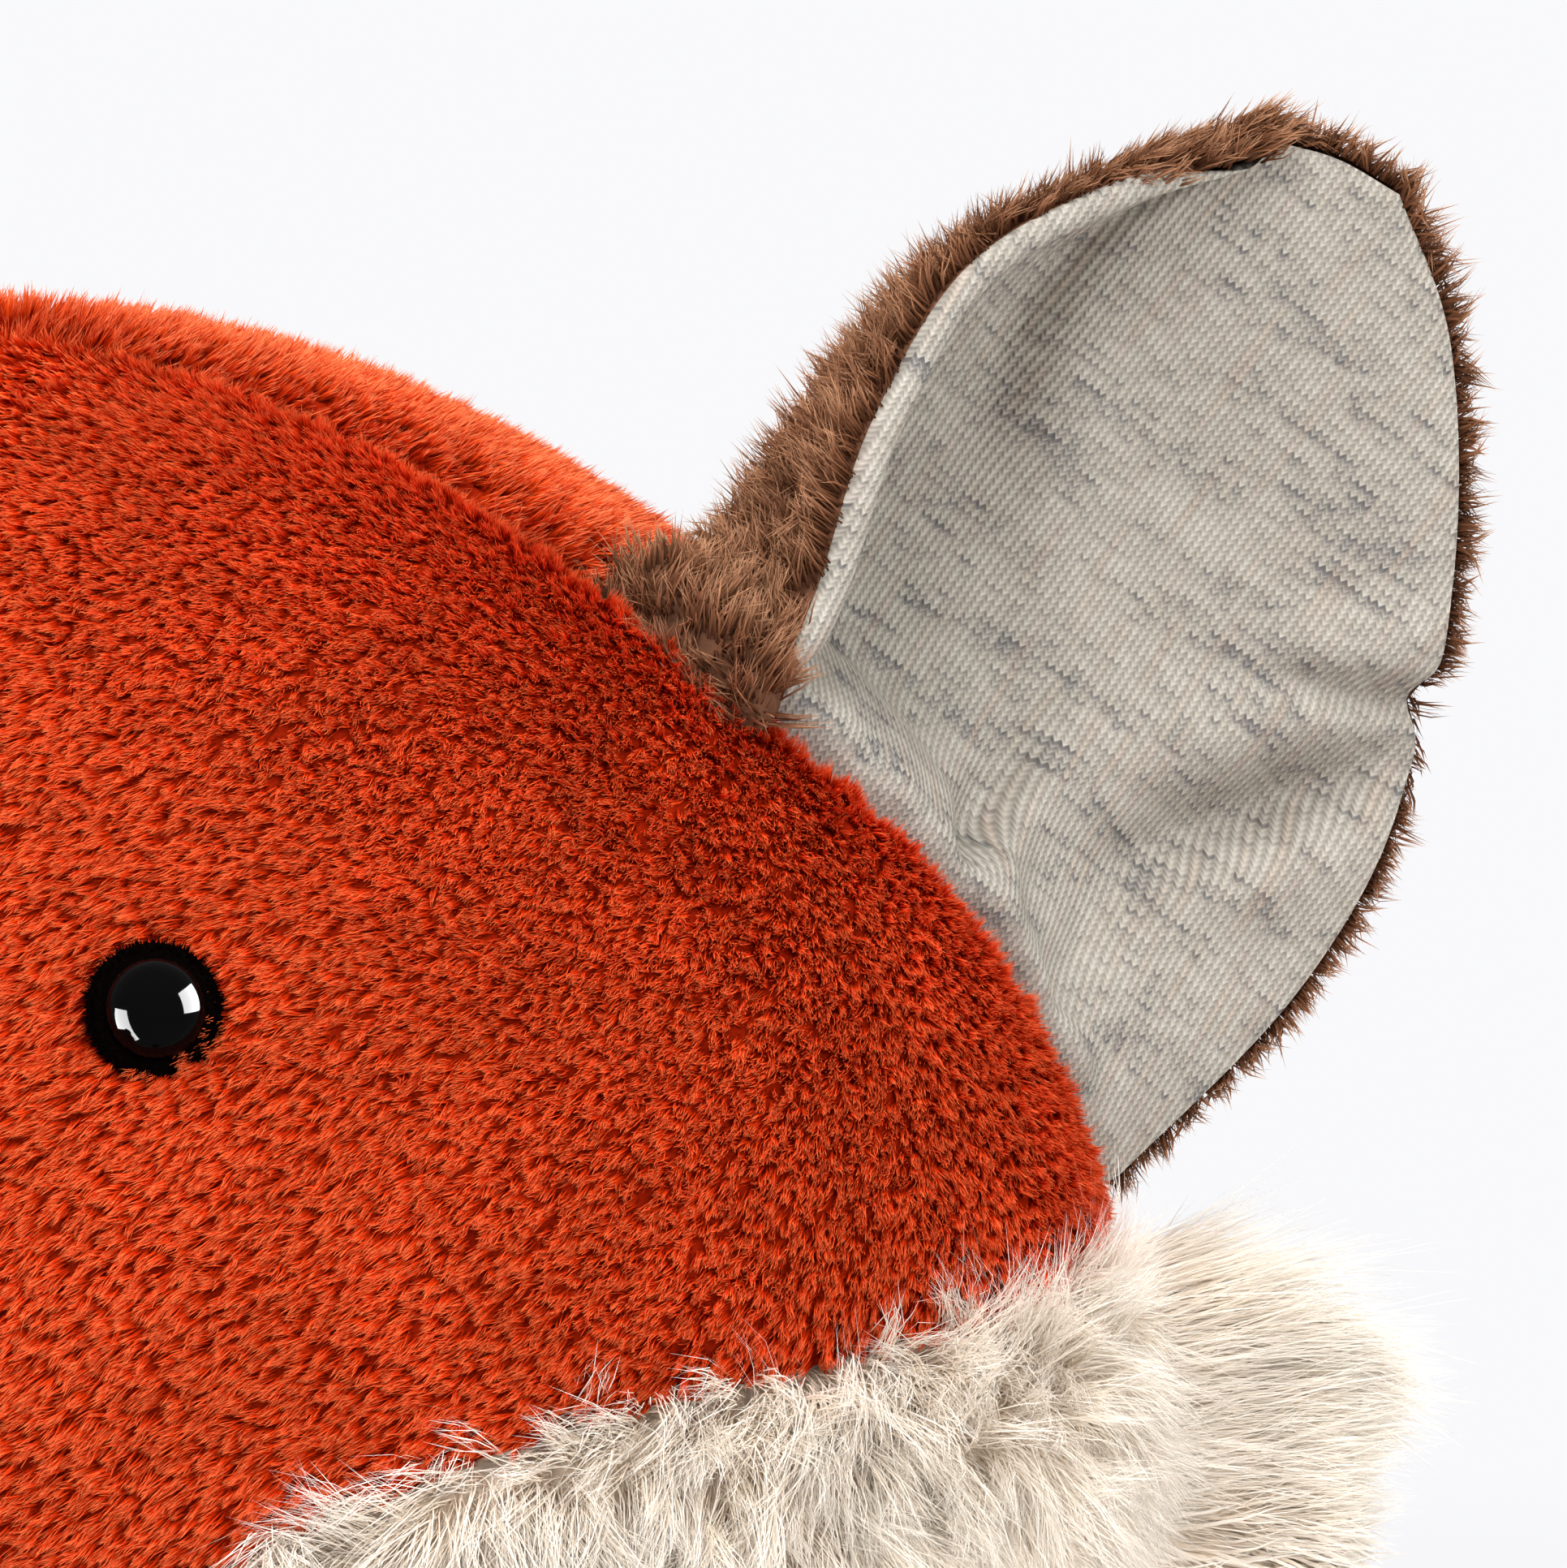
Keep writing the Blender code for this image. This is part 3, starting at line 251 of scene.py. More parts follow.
def blade_mesh(name, paths, widths, flat_way, lookup, material):
    """Strands as one mesh. paths is strand, step, xyz; each strand is a strip that ends in a point."""
    strands, steps, _ = paths.shape
    taper = widths[:, None] * np.array(BLADE_TAPER[: steps - 1])[None, :]
    offset = flat_way[:, None, :] * taper[:, :, None] / 2
    left, right = paths[:, :-1] - offset, paths[:, :-1] + offset
    pairs = np.stack([left, right], axis=2).reshape(strands, 2 * (steps - 1), 3)
    verts = np.concatenate([pairs, paths[:, -1:]], axis=1)
    triangles = []
    for step in range(steps - 2):
        low = 2 * step
        triangles += [(low, low + 1, low + 3), (low, low + 3, low + 2)]
    low = 2 * (steps - 2)
    triangles.append((low, low + 1, low + 2))
    per_strand = verts.shape[1]
    corners = (np.array(triangles)[None] + np.arange(strands)[:, None, None] * per_strand).ravel()
    mesh = bpy.data.meshes.new(name)
    mesh.vertices.add(strands * per_strand)
    mesh.vertices.foreach_set("co", verts.astype(np.float32).ravel())
    mesh.loops.add(len(corners))
    mesh.loops.foreach_set("vertex_index", corners.astype(np.int32))
    mesh.polygons.add(len(corners) // 3)
    mesh.polygons.foreach_set("loop_start", np.arange(0, len(corners), 3, dtype=np.int32))
    heights = np.repeat(np.arange(steps) / (steps - 1), 2)[:per_strand]
    along = np.broadcast_to(heights, (strands, per_strand)).ravel()
    own = np.repeat(lookup, per_strand)
    uv = mesh.uv_layers.new(name="pile")
    uv.data.foreach_set("uv", np.stack([own[corners], along[corners]], axis=1).astype(np.float32).ravel())
    mesh.materials.append(material)
    mesh.update(calc_edges=True)
    return mesh


print("a blade's width from its root up, as shares:", BLADE_TAPER)

# %% Growing tufts
GROUND_CLEARANCE = 0.2 * MM


def everywhere(places):
    return np.ones(len(places))


def grow_pile(
    name, cloth, material, *, spacing, strands, width, length, comb, seed, weight=everywhere, steps=3,
    cling=0.55, spread=0.6, upright=0.35, droop=0, ragged=0.2, stray=0.14, crimp=0,
):
    """A pile of tufts on a cloth, carried by the cloth's body. Sizes are in mm.

    comb gives the tangential lean at each place: 0 stands up, 1 lies at 45 degrees. upright is how much
    of a strand rises before it leans, droop how much its tip falls.
    """
    spacing, width, crimp = spacing * MM, width * MM, crimp * MM
    rng = np.random.default_rng(seed)
    root, normal = scatter(cloth.data, spacing, weight, rng)
    lean = comb(root, normal)
    lean = lean - normal * np.sum(lean * normal, axis=1, keepdims=True)
    lean = lean + rng.normal(scale=stray, size=lean.shape)
    size = (length(root) if callable(length) else np.full(len(root), length)) * MM
    size = size * rng.uniform(1 - ragged, 1 + ragged, len(root))
    tuft = unit(normal + lean)
    turn = rng.uniform(0, math.tau, (len(root), strands))
    reach = spread * spacing * np.sqrt(rng.random((len(root), strands)))
    side = unit(np.cross(normal, rng.normal(size=normal.shape)))
    other = np.cross(normal, side)
    disc = (np.cos(turn) * reach)[..., None] * side[:, None]
    disc = disc + (np.sin(turn) * reach)[..., None] * other[:, None]
    own = size[:, None] * rng.uniform(0.75, 1.12, (len(root), strands))
    start = root[:, None] + disc
    jitter = rng.normal(scale=0.09, size=disc.shape) * own[..., None]
    fall = np.array([0, 0, -droop])
    end = root[:, None] + tuft[:, None] * own[..., None] + disc * (1 - cling) + jitter + fall * own[..., None]
    rise = unit(normal + upright * lean)[:, None]
    bend = start + rise * own[..., None] * 0.5
    shares = np.linspace(0, 1, steps)[None, None, :, None]
    first, last = start[:, :, None], end[:, :, None]
    paths = first * (1 - shares) ** 2 + 2 * bend[:, :, None] * shares * (1 - shares) + last * shares**2
    paths = paths.reshape(-1, steps, 3)
    paths[:, :, 2] = np.maximum(paths[:, :, 2], GROUND_CLEARANCE)
    direction = unit(paths[:, -1] - paths[:, 0])
    flat_way = unit(np.cross(direction, rng.normal(size=direction.shape)))
    count = len(paths)
    if crimp:
        waves = np.linspace(0, 1, steps)[None] * rng.uniform(5, 9, (count, 1)) + rng.uniform(0, 6, (count, 1))
        sway = crimp * np.sin(waves) * np.linspace(0, 1, steps)[None] ** 0.7
        paths = paths + unit(np.cross(direction, flat_way))[:, None] * sway[..., None]
        paths[:, :, 2] = np.maximum(paths[:, :, 2], GROUND_CLEARANCE)
    widths = width * rng.uniform(0.7, 1.25, count)
    tone = np.clip(np.repeat(rng.normal(0.5, 0.2, len(root)), strands) + rng.normal(0, 0.15, count), 0, 1)
    mesh = blade_mesh(name, paths, widths, flat_way, tone, material)
    return finish_piece(name, mesh, *carried_by[cloth.name])


print("strands end at least", GROUND_CLEARANCE / MM, "mm above the ground")

# %% Finishing a piece
carried_by = {}


def finish_piece(name, mesh, body, slot, *replaced):
    """Makes a mesh a piece that rides on a body, in place of the replaced nodes, and notes its body and slot.
    """
    carried_by[name] = body, slot
    piece = bpy.data.objects.new(name, mesh)
    bpy.context.scene.collection.objects.link(piece)
    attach(piece, body)
    if replaced:
        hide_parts(*replaced)
    print(f"{name}: {len(mesh.polygons)} faces")
    return piece


def mesh_from(bm, name, material, smooth=True):
    """Ends a bmesh as a mesh with its material."""
    mesh = bpy.data.meshes.new(name)
    bm.to_mesh(mesh)
    bm.free()
    if smooth:
        mesh.shade_smooth()
    mesh.materials.append(material)
    return mesh


print("solids that pieces can take the place of:", len(frame["nodes"]))

# %% [markdown]
# ## The head's cloth
# The head is one stuffed form, and its panels are cut from that form along seams. So one function gives
# a point of the head for a depth and a roll angle, with the sizes that the solid model has, and each
# panel is a grid laid on it. The cloth lies a pile's height inside the solid. Where two panels meet, the
# thread draws the cloth in and puckers it.

# %% The head's form
NECK_HEIGHT, HEAD_HALF_WIDTH, HEAD_HALF_DEPTH = 165.3, 90.0, 78.0
CROWN_RISE, CHIN_DROP, HEAD_LEVEL = 83.5, 46.0, 208.7
MUZZLE_HALF_WIDTH, MUZZLE_REACH = 30.0, 118.0
NOSE_RING = -0.975 * MUZZLE_REACH
SEAM_ROLLS = np.radians([-90, -30, 0, 12, 30, 42, 55, 90])
SEAM_PLACES = HEAD_HALF_DEPTH * np.array([0.25, 0.42, 0.40, 0.32, 0.11, -0.05, -0.10, -0.11])
BORDER_SHARES = np.linspace(0, 1, 6)
BORDER_ROLLS = np.radians([2, 1, 6, 8, 8.5, 10])


def ease(share):
    share = np.clip(share, 0, 1)
    return share * share * (3 - 2 * share)


def smooth_curve(places, values, at):
    """A smooth curve through values at rising places, read at many places."""
    places, values = np.asarray(places, float), np.asarray(values, float)
    at = np.clip(at, places[0], places[-1])
    each = np.arange(len(at))
    value = (lambda i: values[i]) if values.ndim == 1 else (lambda i: values[i, each])
    index = np.clip(np.searchsorted(places, at, side="right") - 1, 0, len(places) - 2)
    step = places[index + 1] - places[index]
    share = (at - places[index]) / step
    before, after = np.maximum(index - 1, 0), np.minimum(index + 2, len(places) - 1)
    start_run, end_run = places[index + 1] - places[before], places[after] - places[index]
    if values.ndim > 1:
        share, step, start_run, end_run = (a[:, None] for a in (share, step, start_run, end_run))
    start_slope = (value(index + 1) - value(before)) / start_run
    end_slope = (value(after) - value(index)) / end_run
    return (
        (2 * share**3 - 3 * share**2 + 1) * value(index)
        + (share**3 - 2 * share**2 + share) * step * start_slope
        + (3 * share**2 - 2 * share**3) * value(index + 1)
        + (share**3 - share**2) * step * end_slope
    )


def head_sizes(y, inset):
    """Half width, rise above and drop below the level, and the level, at a depth."""
    round_share = np.sqrt(np.maximum(0, 1 - (y / (HEAD_HALF_DEPTH - inset)) ** 2))
    muzzle_root = 0.475 * MUZZLE_REACH
    along = np.clip((-y - muzzle_root) / (MUZZLE_REACH - inset - muzzle_root), 0, 1)
    muzzle = (MUZZLE_HALF_WIDTH - inset) * np.sqrt(1 - along**2) * (1 - 0.25 * along)
    muzzle = muzzle * ease(-y / muzzle_root)
    width = ((HEAD_HALF_WIDTH - inset) * round_share) ** 3 + muzzle**3
    rise = ((CROWN_RISE - inset) * round_share) ** 3 + (0.88 * muzzle) ** 3
    drop = ((CHIN_DROP - inset) * round_share) ** 3 + (0.88 * muzzle) ** 3
    level = HEAD_LEVEL - 12 * ease((-y / muzzle_root - 0.8) / 0.8)
    return width ** (1 / 3), rise ** (1 / 3), drop ** (1 / 3), level


def head_point(y, roll, inset):
    """Points of the head in mm, inside the solid's surface by inset."""
    width, rise, drop, level = head_sizes(y, inset)
    tall = np.where(np.sin(roll) > 0, rise, drop)
    height = np.maximum(level + tall * np.sin(roll), NECK_HEIGHT + 0.4)
    return np.stack([width * np.cos(roll), y, height], axis=-1)


def seam_y(roll):
    side_roll = np.arcsin(np.clip(np.sin(roll), -1, 1))
    return smooth_curve(SEAM_ROLLS, SEAM_PLACES, side_roll)


def drawn_in(distance, along, depth=1.9, reach=2.6, puckers=0.5):
    """How far a seam draws the cloth in at a distance from it, with puckers along its length, in mm."""
    wave = np.sin(along * math.tau / 5.3) + 0.8 * np.sin(along * math.tau / 3.4 + 1)
    pull = depth * (1 + 0.2 * wave) * np.exp(-((distance / reach) ** 2))
    return pull + puckers * wave * np.exp(-((distance / (2.2 * reach)) ** 2))


middle_sizes = [float(size[0]) for size in head_sizes(np.array([0.0]), 0)[:3]]
print("head at its middle, half width, rise and drop in mm:", middle_sizes)


# %% Laying a grid on a form
def lay_cloth(name, columns, rows, place, outward, material, uv=None, closed=False):
    """A grid whose two shares the place function turns into points in mm. outward gives its front."""
    bm = bmesh.new()
    bmesh.ops.create_grid(bm, x_segments=columns, y_segments=rows, size=1)
    flat = np.array([vert.co.xy for vert in bm.verts])
    shares = (flat + 1) / 2
    for vert, point in zip(bm.verts, place(shares[:, 0], shares[:, 1]) * MM):
        vert.co = point
    if uv:
        layer = bm.loops.layers.uv.new("cloth")
        flat_places = uv(np.array([vert.co for vert in bm.verts]))
        for polygon in bm.faces:
            for loop in polygon.loops:
                loop[layer].uv = flat_places[loop.vert.index]
    if closed:
        bmesh.ops.remove_doubles(bm, verts=bm.verts, dist=0.01 * MM)
    bm.normal_update()
    shows = (face.normal.dot(outward(face.calc_center_median())) * face.calc_area() for face in bm.faces)
    if sum(shows) < 0:
        bmesh.ops.reverse_faces(bm, faces=bm.faces)
    return mesh_from(bm, name, material)


def away_from(*centre_mm):
    centre = Vector(centre_mm) * MM
    return lambda place: place - centre


def towards(*way):
    return lambda place: Vector(way)


def sew(name, columns, rows, place, outward, body, slot, node, material, fill=0.85, **shape):
    """A cloth as a finished piece in place of a node. Its fill is not used."""
    mesh = lay_cloth(name, columns, rows, place, outward, material, **shape)
    piece = finish_piece(name, mesh, body, slot, node)
    return piece


from_head = away_from(0, 0, HEAD_LEVEL)
print("out of the head at its crown:", from_head(Vector((0, 0, 0.29))))

# %% Face, cheeks and back of the head
SHORT_INSET, LONG_INSET = 1.7, 3.2


def border_roll(share):
    return smooth_curve(BORDER_SHARES, BORDER_ROLLS, share)


def front_point(share, roll, inset, border, along_border):
    seam = seam_y(roll) - 0.15
    y = NOSE_RING + (seam - NOSE_RING) * share
    from_seam = np.abs(seam - y)
    arc = roll * HEAD_HALF_WIDTH
    sink = np.maximum(drawn_in(from_seam, arc, 3.0, 2.4, 0.25), drawn_in(border, along_border, 1.2, 2, 0.2))
    return head_point(y, roll, inset + sink)


def face_place(across, share):
    edge = border_roll(share)
    roll = edge + (math.pi - 2 * edge) * across
    border = np.minimum(roll - edge, math.pi - edge - roll) * 80
    return front_point(share, roll, SHORT_INSET, border, share * 140)


def cheek_place(side):
    def place(across, share):
        edge = border_roll(share)
        roll = -math.pi / 2 + (edge + math.pi / 2) * across
        border = np.minimum(edge - roll, roll + math.pi / 2) * 80
        point = front_point(share, roll, LONG_INSET, border, share * 140)
        return point * mirror(side)

    return place


def back_place(around, share):
    roll = around * math.tau + math.pi / 2
    seam = seam_y(roll) + 0.15
    start = np.arcsin(seam / HEAD_HALF_DEPTH)
    y = HEAD_HALF_DEPTH * np.sin(start + (math.pi / 2 - start) * share) * 0.9999
    sink = drawn_in(np.abs(y - seam), (around - 0.5) * math.tau * HEAD_HALF_WIDTH, 2.6, 2.6, 0.6)
    inset = SHORT_INSET + sink
    return head_point(y * (HEAD_HALF_DEPTH - inset) / HEAD_HALF_DEPTH, roll, inset)


face = sew(
    "face_cloth", 110, 90, face_place, from_head, "head", "rust_plush", "face_panel", RUST_GROUND
)
head_back = sew(
    "head_back_cloth", 120, 44, back_place, from_head, "head", "rust_plush", "head_back_panel",
    RUST_GROUND, closed=True,
)
cheeks = {
    side_name: sew(
        f"{side_name}_cheek_cloth", 44, 80, cheek_place(side), from_head, "head", "cream_long_pile",
        f"{side_name}_cheek", CREAM_GROUND,
    )
    for side_name, side in SIDES
}

# %% [markdown]
# ## Combing the plush
# A plush cloth has a nap, one way in which its pile lies down. On the face it runs from the ears
# forward: level over the forehead, then more and more downwards towards the cheek. The comb is written
# as an angle in the plane that the photograph sees, on the left half, and mirrored for the right one.

# %% The comb
SIDEWAYS = np.array([0.94, 0.34, 0.0])  # the photograph's level, seen from 20 degrees to the fox's left
EYE_PLACE, FELT_REACH = np.array([41.8, -59.95, 245.05]), 4.25


def nap(places, angles, bend=0.35, size=0.012, seed=3):
    """Directions from angles, 0 to the fox's left and 90 up, mirrored on the right half, with a swirl."""
    turned = np.radians(angles) + bend * swirl(places, size, seed)
    side = np.where(places[:, 0] < 0, -1.0, 1.0)
    side = side * ease(np.abs(places[:, 0]) / (14 * MM))
    across = np.cos(turned)[:, None] * SIDEWAYS * np.stack([side, 1 + 0 * side, side], axis=1)
    return across + np.sin(turned)[:, None] * np.array([0, 0, 1.0])


def sideways(places):
    return np.abs(places[:, 0]) / MM * SIDEWAYS[0] + places[:, 1] / MM * SIDEWAYS[1]


def face_comb(places, normals):
    """The way the pile is seen to lie. What the camera can't see, how far it tips forward, is worked out."""
    z = places[:, 2] / MM
    angles = 176 + 34 * ease((291 - z) / 34) + 46 * ease((sideways(places) - 50) / 28)
    seen = 1.5 * nap(places, angles, 0.2, 0.012)
    side = np.clip(places[:, 0] / (14 * MM), -1, 1)
    camera_way = unit(np.stack([0.34 * side, -0.94 + 0 * side, 0.07 + 0 * side], axis=1))
    facing = np.maximum(np.sum(camera_way * normals, axis=1), 0.45)
    forward = (1 - np.sum(seen * normals, axis=1)) / facing
    lean = seen + camera_way * forward[:, None] - normals
    long = np.linalg.norm(lean, axis=1, keepdims=True)
    return lean * np.minimum(long, 1.9) / np.maximum(long, 0.01)


def clear_of_eyes(places):
    """0 on the felt rings round the eyes, where no pile grows, and 1 elsewhere."""
    clear = np.ones(len(places))
    for _, side in SIDES:
        eye = EYE_PLACE * mirror(side) * MM
        clear = clear * (np.linalg.norm(places - eye, axis=1) > FELT_REACH * MM)
    return clear


def near_share(places):
    """1 on the left half, which the photograph looks at closely, and 0 on the rest, with a soft edge."""
    return ease((places[:, 0] / MM - 15) / 9)


def short_at_seam(places, full, least=0.55):
    """Pile is clipped and caught by the thread beside the ear-to-ear seam."""
    x, y, z = places.T / MM
    roll = np.arctan2(z - HEAD_LEVEL, np.abs(x))
    distance = np.abs(y - seam_y(roll))
    return full * (least + (1 - least) * ease(distance / 4))


print("comb beside the left eye:", face_comb(EYE_PLACE[None] * MM, SIDEWAYS[None]).round(2))


# %% The face's pile
def upper_face(places):
    """The face's pile is cut in two pieces at the eyes' height, to keep each below 200,000 triangles."""
    return np.where(places[:, 2] > 243 * MM, 1.0, 0.0)


face_parts = (
    ("face_pile_upper_left", lambda p: near_share(p) * upper_face(p), 0.64, 18, 0.18, 31),
    ("face_pile_lower_left", lambda p: near_share(p) * (1 - upper_face(p)), 0.64, 18, 0.18, 32),
    ("face_pile_right", lambda p: 1 - near_share(p), 1.0, 8, 0.45, 33),
)
for name, part, spacing, strands, width, seed in face_parts:
    grow_pile(
        name, face, RUST_PILE, spacing=spacing, strands=strands, width=width,
        length=lambda p: short_at_seam(p, 1.85, 0.85), comb=face_comb, seed=seed,
        weight=lambda p, part=part: part(p) * clear_of_eyes(p), steps=2, cling=0.6, spread=0.78,
        ragged=0.2, stray=0.28,
    )

# %% [markdown]
# ## Long cream pile
# The cheeks are cut from a long-pile fabric. Its fibres are ten millimetres long, fine and crimped, so
# they gather in flat locks that fall over one another. A lock is many blades that share a tip, and the
# locks differ in length and direction much more than short pile does.

# %% Cheeks
def border_share(places, reach):
    """1 on a cheek beside the face, falling to 0 at a distance in degrees round the head."""
    x, y, z = places.T / MM
    below = np.degrees(np.arctan2(z - HEAD_LEVEL, np.abs(x)))
    return ease((below - (7 - reach)) / reach)


def cheek_comb(places, normals):
    """Downwards, in flat locks that swirl one over another, and up over the border with the face."""
    x, y, z = places.T / MM
    border = border_share(places, 7)
    beside_ruff = ease((y - 18) / 12)
    fallen = 250 - 25 * beside_ruff + (1 - 0.6 * beside_ruff) * (
        62 * swirl(places, 0.011, 7) + 45 * swirl(places, 0.005, 8)
    )
    raised = 188 + 60 * swirl(places, 0.009, 27)
    return 1.6 * nap(places, fallen * (1 - border) + raised * border, 0.3, 0.010, 9)


def cheek_length(places):
    """Shorter where the head rests on the neck."""
    z = places[:, 2] / MM
    return 2.5 + 5.0 * ease((z - 168) / 20)


def close_up(places):
    """1 on the part of the left cheek and ruff that the photograph shows."""
    return ease((places[:, 2] / MM - 198) / 5) * ease((places[:, 0] / MM - 12) / 8)


cheek_looks = dict(length=cheek_length, comb=cheek_comb, steps=4, cling=0.55, spread=1.1, droop=0.06)
cheek_parts = (
    ("left_cheek_pile_upper", "left", close_up, 1.3, 26, 0.115, 21),
    ("left_cheek_pile", "left", lambda p: 1 - close_up(p), 2.7, 13, 0.45, 22),
    ("right_cheek_pile", "right", everywhere, 2.8, 12, 0.45, 23),
)
for name, side_name, weight, spacing, strands, width, seed in cheek_parts:
    grow_pile(
        name, cheeks[side_name], CREAM_PILE, spacing=spacing, strands=strands, width=width, seed=seed,
        weight=weight, ragged=0.35, stray=0.5, crimp=0.5, **cheek_looks,
    )


def along_border(places):
    """A strip of the left cheek beside the face, where fine hairs stray up over the rust pile."""
    return close_up(places) * border_share(places, 5) * ease(2 * swirl(places, 0.012, 24) + 0.2)


grow_pile(
    "left_cheek_wisps", cheeks["left"], CREAM_PILE, spacing=2.4, strands=8, width=0.05, length=6.5,
    comb=lambda p, n: 1.5 * nap(p, 128 + 30 * swirl(p, 0.02, 25)), seed=26, weight=along_border,
    steps=4, cling=-0.1, ragged=0.4, stray=0.3, crimp=0.5,
)

# %% [markdown]
# ## The ruffs
# Behind each cheek a stuffed lobe of the same cream fabric stands out sideways. It is a flattened ball,
# pushed into the head. Its pile is combed outwards, away from the head.

# %% Ruffs
RUFF_ROLL, RUFF_REACH, RUFF_HALF_HEIGHT, RUFF_HALF_DEPTH = math.radians(-16), 19.0, 29.0, 13.0
RUFF_BRUSHED_IN = 3.5  # mm by which the cloth is lower than the solid, whose edge is the pile's


def head_outward(y, roll):
    step = 0.3
    along = head_point(y + step, roll, 0) - head_point(y - step, roll, 0)
    around = head_point(y, roll + 0.01, 0) - head_point(y, roll - 0.01, 0)
    outward = unit(np.cross(along, around))
    middle = np.stack([0 * y, y, HEAD_LEVEL + 0 * y], axis=-1)
    facing = np.sum(outward * (head_point(y, roll, 0) - middle), axis=-1, keepdims=True)
    return outward * np.where(facing < 0, -1, 1)


def ruff_place(side, inset=3.0):
    roll = np.array([RUFF_ROLL])
    y = seam_y(roll)
    root = head_point(y, roll, 0)[0]
    outward = head_outward(y, roll)[0] * np.array([1, 1, 0])
    outward = outward / np.linalg.norm(outward)
    depth_way = np.array([-outward[1], outward[0], 0])

    def place(around, share):
        turn, angle = math.pi * share, math.tau * around
        width = 0.95 * np.sin(turn) ** 0.45
        point = root + outward * ((RUFF_REACH - inset) * np.cos(turn))[:, None]
        height = (RUFF_HALF_HEIGHT - inset - RUFF_BRUSHED_IN) * width * np.cos(angle)
        point = point + np.array([0, 0, 1]) * height[:, None]
        point = point + depth_way * ((RUFF_HALF_DEPTH - inset) * width * np.sin(angle))[:, None]
        return point * mirror(side)

    return place, root * mirror(side), outward * mirror(side)


def ruff_comb(outward):
    def comb(places, normals):
        wave = swirl(places, 0.014, 12)[:, None] * np.array([0, 0, 0.35])
        return 3.0 * (outward + wave)

    return comb


ruff_parts = (
    ("left", 1, "left_ruff_pile_upper", close_up, 1.5, 22, 0.14, 51),
    ("left", 1, "left_ruff_pile", lambda p: 1 - close_up(p), 2.4, 12, 0.4, 52),
    ("right", -1, "right_ruff_pile", everywhere, 2.4, 12, 0.4, 53),
)
ruffs = {}
for side_name, side in SIDES:
    place, root, _ = ruff_place(side)
    ruffs[side_name] = sew(
        f"{side_name}_ruff_cloth", 48, 32, place, away_from(*root), "head", "cream_long_pile",
        f"{side_name}_ruff", CREAM_GROUND, 0.6, closed=True,
    )
for side_name, side, name, share, spacing, strands, width, seed in ruff_parts:
    _, root, outward = ruff_place(side)

    def weight(places, share=share, root=root, outward=outward):
        """Pile outside the head only, and denser at the ruff's end, where it stands towards the eye."""
        reach = (places / MM - root) @ outward
        return share(places) * (reach > -2) * (1 + 1.5 * ease((reach - 9) / 5))

    grow_pile(
        name, ruffs[side_name], CREAM_PILE, spacing=spacing, strands=strands, width=width,
        comb=ruff_comb(outward), seed=seed, length=lambda p: 6.5 + 8.5 * ease((p[:, 2] / MM - 200) / 22),
        weight=weight, steps=4, cling=0.5, spread=1.1, ragged=0.25, stray=0.3, crimp=0.5, upright=0.9,
    )

# %% [markdown]
# ## The ears
# An ear is two cloths sewn face to face and turned: brown plush behind, knitted jersey in front. Its
# inner edge is folded forward before it is sewn to the head, so a flap of brown shows in front. One
# surface stands for both cloths. It runs through five lines that rise from the seat: the folded rim, the
# turn, the hollow, the floor and the outer edge.

# %% The ear's surface
EAR_HEIGHT, EAR_SINK = 81.0, 3.0
EAR_WIDE, EAR_TALL = 60, 70  # mm of cloth that the shares across and up stand for in folds and edges
FACING = math.radians(40)
EAR_ACROSS = np.array([math.cos(FACING), math.sin(FACING), 0])
EAR_FORWARD = np.array([math.sin(FACING), -math.cos(FACING), 0])
EAR_LINES = (
    (
        (-0.045, 0.27, 0.080), (0.025, 0.43, 0.050), (0.125, 0.565, 0.020), (0.265, 0.635, 0.005),
        (0.420, 0.672, -0.035),
    ),
    (
        (-0.080, 0.305, -0.080), (0.050, 0.440, -0.128), (0.155, 0.550, -0.118), (0.300, 0.632, -0.080),
        (0.440, 0.685, -0.055),
    ),
    (
        (0.060, 0.20, -0.125), (0.130, 0.375, -0.155), (0.220, 0.500, -0.135), (0.335, 0.610, -0.095),
        (0.468, 0.680, -0.055),
    ),
    (
        (0.245, 0.035, -0.080), (0.335, 0.210, -0.105), (0.400, 0.370, -0.095), (0.430, 0.530, -0.072),
        (0.505, 0.668, -0.045),
    ),
    (
        (0.462, -0.100, -0.060), (0.562, 0.080, -0.041), (0.606, 0.285, -0.027), (0.602, 0.495, -0.028),
        (0.550, 0.640, -0.035),
    ),
)


def seat_point(roll_degrees, step=0.0):
    roll = np.array([math.radians(roll_degrees)])
    y = seam_y(roll) - step
    return (head_point(y, roll, 0) - head_outward(y, roll) * EAR_SINK)[0]


EAR_SEAT = (seat_point(51) + seat_point(12)) / 2
EAR_FIRSTS = (seat_point(40, 7.5), seat_point(51), seat_point(38), seat_point(25), seat_point(12))


def on_ear(across, up, forward):
    return EAR_SEAT + EAR_HEIGHT * (across * EAR_ACROSS + np.array([0, 0, up]) + forward * EAR_FORWARD)


EAR_GRID = np.array(
    [[first] + [on_ear(*shares) for shares in line] for first, line in zip(EAR_FIRSTS, EAR_LINES)]
)
print("ear, in mm:", np.ptp(EAR_GRID.reshape(-1, 3), axis=0).round(1))


# %% Any place of the ear
def ear_middle(across, up):
    """Points of the left ear in mm, across from the folded rim to the outer edge, and up to the tip."""
    steps, lines = np.linspace(0, 1, 6), np.linspace(0, 1, 5)
    rows = np.stack(
        [
            np.stack([smooth_curve(steps, EAR_GRID[line, :, axis], up) for axis in range(3)], axis=-1)
            for line in range(5)
        ]
    )
    return smooth_curve(lines, rows, across)


